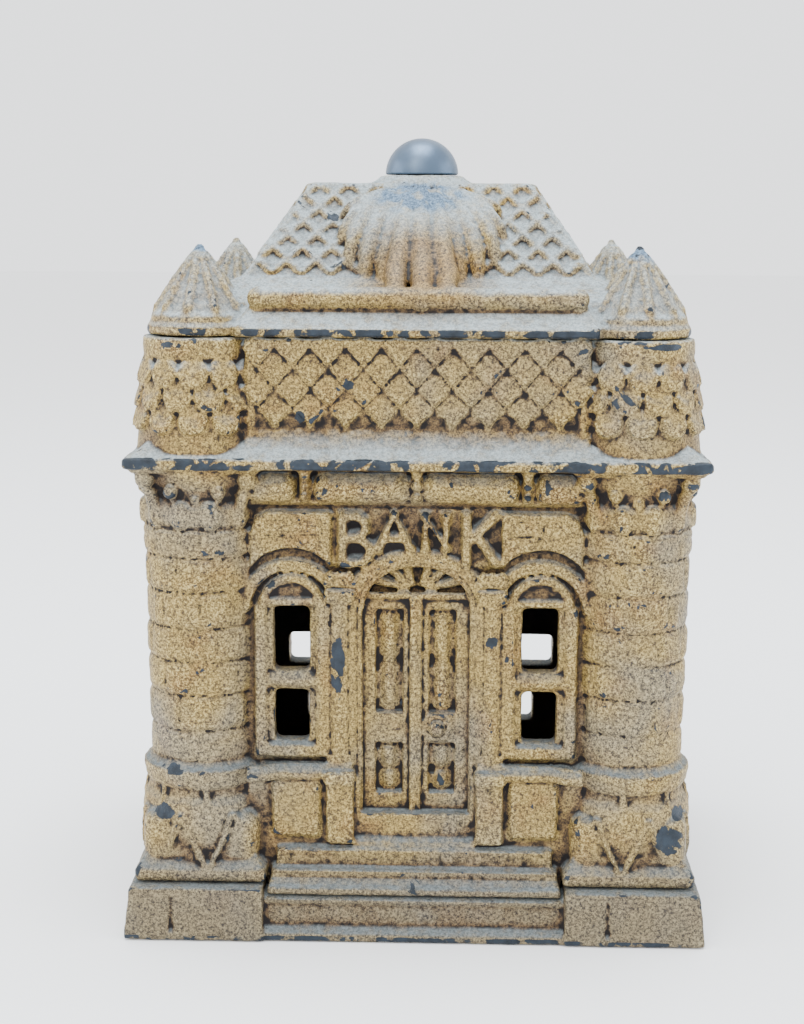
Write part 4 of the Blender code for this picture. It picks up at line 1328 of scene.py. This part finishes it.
def worn_gilt_with_painted_light(name):
    """Gold paint on rough iron: speckled, with painted shade in hollows and creases, painted highlights on
    raised relief, chipped on edges, and a grey dusting with painted cool top light on faces that look up.
    """
    paint = bpy.context.scene.still_bank_paint
    material = bpy.data.materials.new(name)
    material.use_nodes = True
    tree = material.node_tree
    shader = tree.nodes["Principled BSDF"]
    place = tree.nodes.new("ShaderNodeTexCoord").outputs["Object"]

    def noise(scale, detail, distortion=0.0):
        found = tree.nodes.new("ShaderNodeTexNoise")
        found.inputs["Scale"].default_value = scale
        found.inputs["Detail"].default_value = detail
        found.inputs["Distortion"].default_value = distortion
        tree.links.new(place, found.inputs["Vector"])
        return found.outputs["Fac"]

    def spread(value, low, high, to_low=0.0, to_high=1.0):
        found = tree.nodes.new("ShaderNodeMapRange")
        found.inputs["From Min"].default_value = low
        found.inputs["From Max"].default_value = high
        found.inputs["To Min"].default_value = to_low
        found.inputs["To Max"].default_value = to_high
        tree.links.new(value, found.inputs["Value"])
        return found.outputs["Result"]

    def sums(kind, a, b):
        found = tree.nodes.new("ShaderNodeMath")
        found.operation = kind
        found.use_clamp = True
        for socket, value in zip(found.inputs, (a, b)):
            if isinstance(value, float):
                socket.default_value = value
            else:
                tree.links.new(value, socket)
        return found.outputs[0]

    def blend(share, under, over):
        found = tree.nodes.new("ShaderNodeMix")
        found.data_type = "RGBA"
        tree.links.new(share, found.inputs["Factor"])
        for socket, value in ((found.inputs[6], under), (found.inputs[7], over)):
            if isinstance(value, tuple):
                socket.default_value = (*value, 1.0)
            else:
                tree.links.new(value, socket)
        return found.outputs[2]

    def level(share, under, over):
        found = tree.nodes.new("ShaderNodeMix")
        tree.links.new(share, found.inputs["Factor"])
        for socket, value in ((found.inputs[2], under), (found.inputs[3], over)):
            if isinstance(value, float):
                socket.default_value = value
            else:
                tree.links.new(value, socket)
        return found.outputs[0]

    def attribute(label):
        found = tree.nodes.new("ShaderNodeAttribute")
        found.attribute_name = label
        return found.outputs["Fac"]

    def near(centre, reach):
        """1 in the middle of an ellipsoid given in millimetres, falling softly to 0 past its rim."""
        shift = tree.nodes.new("ShaderNodeVectorMath")
        shift.operation = "SUBTRACT"
        shift.inputs[1].default_value = Vector(centre) * MM
        tree.links.new(place, shift.inputs[0])
        shrink = tree.nodes.new("ShaderNodeVectorMath")
        shrink.operation = "DIVIDE"
        shrink.inputs[1].default_value = Vector(reach) * MM
        tree.links.new(shift.outputs["Vector"], shrink.inputs[0])
        span = tree.nodes.new("ShaderNodeVectorMath")
        span.operation = "LENGTH"
        tree.links.new(shrink.outputs["Vector"], span.inputs[0])
        return spread(span.outputs["Value"], 1.25, 0.45)

    def near_any(places):
        found = near(*places[0])
        for centre, reach in places[1:]:
            found = sums("MAXIMUM", found, near(centre, reach))
        return found

    grain = noise(3900.0, 2.0)
    speck = noise(1900.0, 3.0)
    coarse = noise(560.0, 4.0)
    patch = noise(140.0, 4.0, 0.4)
    wide = noise(45.0, 3.0, 0.6)
    ragged = noise(420.0, 5.0, 0.5)
    blot = noise(88.0, 5.0, 0.8)
    edge = attribute("edge")
    hollow = attribute("hollow")
    fine = level(spread(coarse, 0.3, 0.7, 0.35, 0.65), grain, speck)
    split = tree.nodes.new("ShaderNodeSeparateXYZ")
    tree.links.new(place, split.inputs[0])
    height_in = split.outputs["Z"]

    gilt = tuple(paint.gilt)
    tarnish = tuple(paint.tarnish)
    colour = blend(spread(fine, 0.39, 0.60), tarnish, gilt)
    browned = blend(spread(fine, 0.40, 0.60), (0.045, 0.026, 0.013), (0.27, 0.145, 0.038))
    colour = blend(spread(patch, 0.50, 0.70, 0.0, 0.75), colour, browned)
    # Painted highlight: raised relief and the brighter grains are blended towards a pale gold, standing in
    # for light catching the raised parts.
    pale = (0.62, 0.50, 0.22)
    painted_highlight = sums("MULTIPLY", spread(hollow, 0.05, 0.50, 0.20, 1.0), spread(fine, 0.50, 0.66))
    colour = blend(sums("MULTIPLY", painted_highlight, 0.9), colour, pale)
    scallop = near_any(SCALLOP_PLACES)
    colour = blend(sums("MULTIPLY", scallop, 0.75), colour, browned)
    greyed = blend(spread(fine, 0.40, 0.60), (0.035, 0.037, 0.042), (0.25, 0.23, 0.18))
    colour = blend(spread(wide, 0.46, 0.66, 0.0, 0.60), colour, greyed)
    # Darker and greyer towards the bottom, below about 19 mm.
    low_tone = blend(spread(fine, 0.38, 0.62), (0.030, 0.027, 0.026), (0.19, 0.165, 0.120))
    colour = blend(spread(height_in, 0.019, 0.009, 0.0, 0.72), colour, low_tone)
    # Painted shade: broad hollows are blended towards a dark brown, standing in for the shade that falls in
    # them.
    sunk = blend(spread(fine, 0.40, 0.60), (0.030, 0.018, 0.012), (0.150, 0.085, 0.034))
    colour = blend(spread(hollow, -0.05, -0.30, 0.0, 0.85), colour, sunk)
    # Painted shade: deep hollows and narrow creases are darkened to near black, standing in for the shade
    # that falls there, together with old dirt in the crevices.
    crevice_shade_and_dirt_mask = spread(hollow, -0.22, -0.70)
    crevice_shade_and_dirt_mask = sums("MULTIPLY", crevice_shade_and_dirt_mask, spread(coarse, 0.25, 0.55, 0.72, 1.0))
    line = spread(edge, -0.028, -0.072)
    crevice_shade_and_dirt_mask = sums("MAXIMUM", crevice_shade_and_dirt_mask, line)
    colour = blend(crevice_shade_and_dirt_mask, colour, tuple(paint.crevice_shade_and_dirt))

    # Grey dusting together with painted cool top light: faces that look up are blended towards a pale
    # blue-grey.
    up = tree.nodes.new("ShaderNodeSeparateXYZ")
    tree.links.new(tree.nodes.new("ShaderNodeNewGeometry").outputs["Normal"], up.inputs[0])
    fall = spread(up.outputs["Z"], 0.28, 0.70)
    dust_and_top_light_mask = sums("MULTIPLY", fall, spread(coarse, 0.28, 0.50, 0.55, 1.0))
    dust_and_top_light_mask = sums("MULTIPLY", dust_and_top_light_mask, spread(ragged, 0.30, 0.50, 0.65, 1.0))
    dust_and_top_light_mask = sums("MULTIPLY", dust_and_top_light_mask, spread(edge, 0.10, 0.04, 0.25, 0.97))
    dust_and_top_light_mask = sums("MULTIPLY", dust_and_top_light_mask, spread(scallop, 0.0, 0.8, 1.0, 0.08))
    # Painted shade: between about 42 and 86 mm, under the cornice, the dusting and painted top light are
    # held back.
    shelter = sums("MULTIPLY", spread(height_in, 0.087, 0.0862), spread(height_in, 0.036, 0.042))
    dust_and_top_light_mask = sums("MULTIPLY", dust_and_top_light_mask, spread(shelter, 0.0, 1.0, 1.0, 0.42))
    dust_and_top_light_colour = blend(spread(fine, 0.38, 0.60), tuple(0.55 * v for v in paint.dust_and_top_light), tuple(paint.dust_and_top_light))
    # Painted shade: the dusting on lower faces is darker than higher up, standing in for less top light
    # there.
    shade, light = (tuple(share * v for v in paint.dust_and_top_light) for share in (0.20, 0.40))
    lower = blend(spread(fine, 0.38, 0.60), shade, light)
    dust_and_top_light_colour = blend(spread(height_in, 0.045, 0.080), lower, dust_and_top_light_colour)
    colour = blend(dust_and_top_light_mask, colour, dust_and_top_light_colour)

    slaty = sums("MULTIPLY", near_any(BLUED_PLACES), spread(ragged, 0.25, 0.60))
    slaty = spread(slaty, 0.20, 0.60)
    blued = blend(spread(fine, 0.40, 0.60), (0.050, 0.080, 0.120), (0.17, 0.25, 0.34))
    colour = blend(slaty, colour, blued)

    # Bare iron inside the walls, bounded by the coin room.
    sizes = {}
    for axis in "XY":
        size = tree.nodes.new("ShaderNodeMath")
        size.operation = "ABSOLUTE"
        tree.links.new(split.outputs[axis], size.inputs[0])
        sizes[axis] = size.outputs[0]
    low_room = sums("MULTIPLY", spread(sizes["X"], 0.0418, 0.0413), spread(sizes["Y"], 0.0307, 0.0302))
    top_room = sums("MULTIPLY", spread(sizes["X"], 0.0436, 0.0432), spread(sizes["Y"], 0.0328, 0.0324))
    top_room = sums("MULTIPLY", top_room, spread(height_in, 0.0925, 0.0930))
    inside = sums("MULTIPLY", sums("MAXIMUM", low_room, top_room), spread(height_in, 0.1104, 0.1098))
    rusty = blend(spread(patch, 0.40, 0.66), (0.020, 0.018, 0.019), (0.060, 0.034, 0.021))
    colour = blend(inside, colour, rusty)

    worn = near_any(WORN_PLACES)
    for low, high, out_x, out_y in CHIPPED_RIMS:
        above = spread(height_in, low * MM, (low + 0.4) * MM)
        below = spread(height_in, high * MM, (high - 0.4) * MM)
        rims = []
        for axis, out in (("X", out_x), ("Y", out_y)):
            rims.append(spread(sizes[axis], (out - 0.4) * MM, out * MM))
        band = sums("MULTIPLY", sums("MULTIPLY", above, below), sums("MAXIMUM", *rims))
        worn = sums("MAXIMUM", worn, sums("MULTIPLY", band, spread(patch, 0.36, 0.60, 0.42, 0.82)))
    worn = spread(sums("MULTIPLY", worn, spread(ragged, 0.26, 0.66, 0.20, 1.0)), 0.38, 0.44)

    rubbed = sums("MULTIPLY", spread(edge, 0.03, 0.12), spread(patch, 0.44, 0.64))
    rubbed = spread(sums("MULTIPLY", rubbed, spread(ragged, 0.38, 0.60)), 0.27, 0.34)
    spots = spread(sums("MULTIPLY", blot, spread(ragged, 0.2, 0.6, 0.88, 1.0)), 0.69, 0.70)
    bare = sums("MAXIMUM", sums("MAXIMUM", rubbed, spots), worn)
    dull, bright = (tuple(share * v for v in paint.iron) for share in (0.6, 1.6))
    iron = blend(spread(coarse, 0.3, 0.7), dull, bright)
    colour = blend(bare, colour, iron)
    tree.links.new(colour, shader.inputs["Base Color"])
    shader.inputs["Specular IOR Level"].default_value = 0.30

    metal = level(crevice_shade_and_dirt_mask, 0.40, 0.0)
    metal = level(dust_and_top_light_mask, metal, 0.0)
    metal = level(inside, metal, 0.1)
    tree.links.new(level(bare, metal, 0.2), shader.inputs["Metallic"])
    rough = level(spread(fine, 0.35, 0.65), 0.62, 0.44)
    rough = level(crevice_shade_and_dirt_mask, rough, 0.90)
    rough = level(dust_and_top_light_mask, rough, 0.92)
    tree.links.new(level(bare, rough, 0.42), shader.inputs["Roughness"])

    bump = tree.nodes.new("ShaderNodeBump")
    bump.inputs["Strength"].default_value = 0.8
    bump.inputs["Distance"].default_value = 0.00022
    height = sums("SUBTRACT", fine, sums("MULTIPLY", bare, 0.3))
    tree.links.new(height, bump.inputs["Height"])
    tree.links.new(bump.outputs["Normal"], shader.inputs["Normal"])
    return material


def old_steel(name, colour, stain, rough, share):
    """Smooth or rusty steel with faint handling marks."""
    material = bpy.data.materials.new(name)
    material.use_nodes = True
    tree = material.node_tree
    shader = tree.nodes["Principled BSDF"]
    place = tree.nodes.new("ShaderNodeTexCoord").outputs["Object"]
    marks = []
    for scale, detail in ((900.0, 4.0), (170.0, 5.0)):
        found = tree.nodes.new("ShaderNodeTexNoise")
        found.inputs["Scale"].default_value = scale
        found.inputs["Detail"].default_value = detail
        tree.links.new(place, found.inputs["Vector"])
        marks.append(found.outputs["Fac"])
    ramp = tree.nodes.new("ShaderNodeMapRange")
    ramp.inputs["From Min"].default_value = 0.42
    ramp.inputs["From Max"].default_value = 0.68
    ramp.inputs["To Max"].default_value = share
    tree.links.new(marks[1], ramp.inputs["Value"])
    mix = tree.nodes.new("ShaderNodeMix")
    mix.data_type = "RGBA"
    mix.inputs[6].default_value = (*colour, 1.0)
    mix.inputs[7].default_value = (*stain, 1.0)
    tree.links.new(ramp.outputs["Result"], mix.inputs["Factor"])
    tree.links.new(mix.outputs[2], shader.inputs["Base Color"])
    shader.inputs["Metallic"].default_value = 0.75
    sheen = tree.nodes.new("ShaderNodeMapRange")
    sheen.inputs["To Min"].default_value = rough
    sheen.inputs["To Max"].default_value = rough + 0.22
    tree.links.new(marks[0], sheen.inputs["Value"])
    tree.links.new(sheen.outputs["Result"], shader.inputs["Roughness"])
    bump = tree.nodes.new("ShaderNodeBump")
    bump.inputs["Strength"].default_value = 0.25
    bump.inputs["Distance"].default_value = 0.00005
    tree.links.new(marks[0], bump.inputs["Height"])
    tree.links.new(bump.outputs["Normal"], shader.inputs["Normal"])
    return material


def gilt_material():
    return bpy.data.materials.get("worn gilt with painted light") or worn_gilt_with_painted_light("worn gilt with painted light")


# ------------------------------------------------------------ operators


class STILLBANK_OT_base(bpy.types.Operator):
    """Cast base plate with corner blocks, sunk sills and its locating rim"""

    bl_idname = "still_bank.base"
    bl_label = "Base casting"

    def execute(self, context):
        late = base_late()
        triangles = PLAIN_TRIANGLES
        casting("cast_base", base_body(), base_cores(), gilt_material(), "building", late, 1.1, triangles)
        return {"FINISHED"}


class STILLBANK_OT_front(bpy.types.Operator):
    """Front casting with two corner towers, door, steps, windows, lettering and cornice"""

    bl_idname = "still_bank.front"
    bl_label = "Front casting"

    def execute(self, context):
        pieces = towers(-1)
        pieces += gathered(long_wall_run(-1) + frieze(-1))
        pieces += gathered(slated_roof(-1))
        pieces += gathered(sill_and_ring(-1) + window_frames())
        pieces += gathered(upper_panel() + lettering())
        pieces += gathered(pilasters() + front_steps())
        cores = tower_cores(-1) + window_cores() + [door_recess()]
        late = gathered(door_arch() + door_leaves())
        casting("cast_front_wall", pieces, cores, gilt_material(), "building", late, 0.92, FRONT_TRIANGLES)
        return {"FINISHED"}


class STILLBANK_OT_rear(bpy.types.Operator):
    """Rear casting with two corner towers, low window openings and the coin slot"""

    bl_idname = "still_bank.rear"
    bl_label = "Rear casting"

    def execute(self, context):
        pieces = towers(1)
        pieces += gathered(long_wall_run(1) + frieze(1))
        pieces += gathered(slated_roof(1, (20.0, 95.0, 107.2)))
        pieces += gathered(rear_details())
        cores = tower_cores(1) + rear_cores()
        casting("cast_rear_wall", pieces, cores, gilt_material(), "building")
        return {"FINISHED"}


class STILLBANK_OT_sides(bpy.types.Operator):
    """Two narrow side castings with blind windows, held between the towers"""

    bl_idname = "still_bank.sides"
    bl_label = "Side castings"

    def execute(self, context):
        for side, name in ((-1, "cast_left_wall"), (1, "cast_right_wall")):
            pieces, cores = side_wall(side), side_cores(side)
            casting(name, pieces, cores, gilt_material(), "building", (), 0.92, PLAIN_TRIANGLES)
        return {"FINISHED"}


class STILLBANK_OT_roof(bpy.types.Operator):
    """Roof casting with turrets, eaves roll, lattice and scallop shell"""

    bl_idname = "still_bank.roof"
    bl_label = "Roof casting"

    def execute(self, context):
        pieces = gathered(roof_body()) + gathered(turrets()) + gathered(lattice())
        pieces += gathered(shell(-1) + shell(1)) + gathered(pleats())
        casting("cast_roof", pieces, roof_cores(), gilt_material(), "roof", roof_late())
        return {"FINISHED"}


class STILLBANK_OT_fixings(bpy.types.Operator):
    """Threaded tie rod, square lower nut and domed top nut"""

    bl_idname = "still_bank.fixings"
    bl_label = "Rod and nuts"

    def execute(self, context):
        steel = old_steel("dull steel", (0.17, 0.16, 0.16), (0.13, 0.06, 0.03), 0.42, 0.7)
        blued = old_steel("blued steel", *BLUED)
        rod_profile = [(0.85, 1.7), (1.5, 2.2), (142.2, 2.2), (142.85, 1.7)]
        parts = [post((0.0, 0.0), rod_profile, 32)]
        pitch = 0.8
        for low, high in ((1.4, 9.5), (134.0, 142.2)):
            turns = (high - low) / pitch
            count = int(turns * 16)
            helix = []
            for i in range(count + 1):
                turn = 2 * math.pi * turns * i / count
                helix.append((2.13 * math.cos(turn), 2.13 * math.sin(turn), low + (high - low) * i / count))
            parts.append(rail(helix, 0.26, 1))
        rod = joined(parts, "threaded_rod")
        nut = bar(-4.75, 4.75, -4.75, 4.75, 1.65, 4.65, 0.45)
        nut.name = "square_nut"
        bored(nut, [(0.0, 2.65), (8.0, 2.65)])
        for obj, node in ((rod, "tie_rod"), (nut, "lower_nut")):
            self.finish_piece(obj, steel, node, "building", "bare_steel")
        self.finish_piece(dome(), blued, "dome_nut", "dome_nut", "blued_steel")
        return {"FINISHED"}

    @staticmethod
    def finish_piece(obj, material, node, body, slot):
        pick(obj)
        bpy.ops.object.shade_smooth_by_angle(angle=math.radians(35))
        obj.data.materials.clear()
        obj.data.materials.append(material)
        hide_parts(node)
        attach(obj, body)


def bored(obj, profile):
    """Drills a round hole."""
    drill = post((0.0, 0.0), profile, 48)
    modifier = obj.modifiers.new("Bore", "BOOLEAN")
    modifier.operation = "DIFFERENCE"
    modifier.solver = "EXACT"
    modifier.object = drill
    apply_all(obj)
    bpy.data.objects.remove(drill)


def dome():
    """A ball cut flat at its foot, its rim eased and a blind bore drilled up into it."""
    settle()
    foot = 139.05
    bpy.ops.mesh.primitive_uv_sphere_add(
        segments=96,
        ring_count=64,
        radius=7.0 * MM,
        location=(0.0, 0.0, foot * MM),
        scale=(1.0, 1.0, 0.985),
    )
    obj = bpy.context.object
    obj.name = "domed_nut"
    bpy.ops.object.transform_apply(location=True, rotation=True, scale=True)
    bpy.ops.object.mode_set(mode="EDIT")
    bpy.ops.mesh.select_all(action="SELECT")
    bpy.ops.mesh.bisect(
        plane_co=(0.0, 0.0, (foot + 0.02) * MM),
        plane_no=(0.0, 0.0, 1.0),
        use_fill=True,
        clear_inner=True,
    )
    bpy.ops.object.mode_set(mode="OBJECT")
    bored(obj, [(130.0, 2.7), (142.9, 2.7), (143.5, 0.8)])
    modifier = obj.modifiers.new("Rim", "BEVEL")
    modifier.width = 0.35 * MM
    modifier.segments = 3
    modifier.limit_method = "ANGLE"
    modifier.angle_limit = math.radians(50)
    apply_all(obj)
    return obj


class STILLBANK_OT_stage(bpy.types.Operator):
    """Pale floor, soft studio lights and the camera"""

    bl_idname = "still_bank.stage"
    bl_label = "Stage"

    def execute(self, context):
        settle()
        bpy.ops.mesh.primitive_plane_add(size=6.0, location=(0.0, 0.0, 0.0))
        floor = context.object
        floor.name = "floor"
        pale = bpy.data.materials.new("pale floor")
        pale.use_nodes = True
        shader = pale.node_tree.nodes["Principled BSDF"]
        shader.inputs["Base Color"].default_value = (0.93, 0.93, 0.93, 1.0)
        shader.inputs["Roughness"].default_value = 0.9
        floor.data.materials.append(pale)

        world = bpy.data.worlds.new("studio")
        context.scene.world = world
        world.use_nodes = True
        sky = world.node_tree.nodes["Background"]
        sky.inputs["Color"].default_value = (0.96, 0.98, 1.0, 1.0)
        sky.inputs["Strength"].default_value = 2.2

        for name, spot, target, size, power, tint in (
            ("key light", (-0.20, -0.60, 0.55), (0.0, 0.0, 0.07), 0.40, 2.6, (1.0, 0.97, 0.92)),
            ("top light", (0.0, -0.02, 0.80), (0.0, 0.0, 0.1), 0.45, 7.0, (0.80, 0.90, 1.0)),
            ("left light", (-0.70, -0.05, 0.25), (0.0, 0.0, 0.07), 0.5, 2.4, (0.88, 0.94, 1.0)),
            ("right light", (0.70, -0.05, 0.25), (0.0, 0.0, 0.07), 0.5, 2.4, (0.88, 0.94, 1.0)),
        ):
            lamp = bpy.data.lights.new(name, "AREA")
            lamp.size = size
            lamp.energy = power
            lamp.color = tint
            holder = bpy.data.objects.new(name, lamp)
            holder.location = spot
            aim = Vector(target) - Vector(spot)
            holder.rotation_euler = aim.to_track_quat("-Z", "Y").to_euler()
            context.scene.collection.objects.link(holder)

        lens = bpy.data.cameras.new("camera")
        lens.lens = 60.8
        lens.sensor_width = 36.0
        lens.sensor_fit = "AUTO"
        lens.clip_start = 0.01
        camera = bpy.data.objects.new("camera", lens)
        yaw, pitch = math.radians(-1.49), math.radians(10.15)
        forward = Vector(
            (math.sin(yaw) * math.cos(pitch), math.cos(yaw) * math.cos(pitch), -math.sin(pitch))
        )
        turn = forward.to_track_quat("-Z", "Y").to_matrix().to_4x4()
        roll = Matrix.Rotation(math.radians(0.30), 4, "Z")
        camera.matrix_world = Matrix.Translation(Vector((5.32, -339.30, 133.82)) * MM) @ turn @ roll
        context.scene.collection.objects.link(camera)
        context.scene.camera = camera
        return {"FINISHED"}


class STILLBANK_PT_panel(bpy.types.Panel):
    """Lists the pieces of the still bank"""

    bl_idname = "STILLBANK_PT_panel"
    bl_label = "Still Bank"
    bl_space_type = "VIEW_3D"
    bl_region_type = "UI"
    bl_category = "Still Bank"

    def draw(self, context):
        for settings in (context.scene.still_bank_casting, context.scene.still_bank_paint):
            box = self.layout.box()
            for name in type(settings).__annotations__:
                box.prop(settings, name)
        column = self.layout.column(align=True)
        for piece in OPERATORS:
            column.operator(piece.bl_idname)


OPERATORS = (
    STILLBANK_OT_base,
    STILLBANK_OT_front,
    STILLBANK_OT_rear,
    STILLBANK_OT_sides,
    STILLBANK_OT_roof,
    STILLBANK_OT_fixings,
    STILLBANK_OT_stage,
)
CLASSES = (StillBankCasting, StillBankPaint, *OPERATORS, STILLBANK_PT_panel)


def register():
    for item in CLASSES:
        bpy.utils.register_class(item)
    bpy.types.Scene.still_bank_casting = bpy.props.PointerProperty(type=StillBankCasting)
    bpy.types.Scene.still_bank_paint = bpy.props.PointerProperty(type=StillBankPaint)


def unregister():
    del bpy.types.Scene.still_bank_paint
    del bpy.types.Scene.still_bank_casting
    for item in reversed(CLASSES):
        bpy.utils.unregister_class(item)


def main():
    register()
    bpy.ops.still_bank.base()
    bpy.ops.still_bank.front()
    bpy.ops.still_bank.rear()
    bpy.ops.still_bank.sides()
    bpy.ops.still_bank.roof()
    bpy.ops.still_bank.fixings()
    bpy.ops.still_bank.stage()


if __name__ == "__main__":
    main()
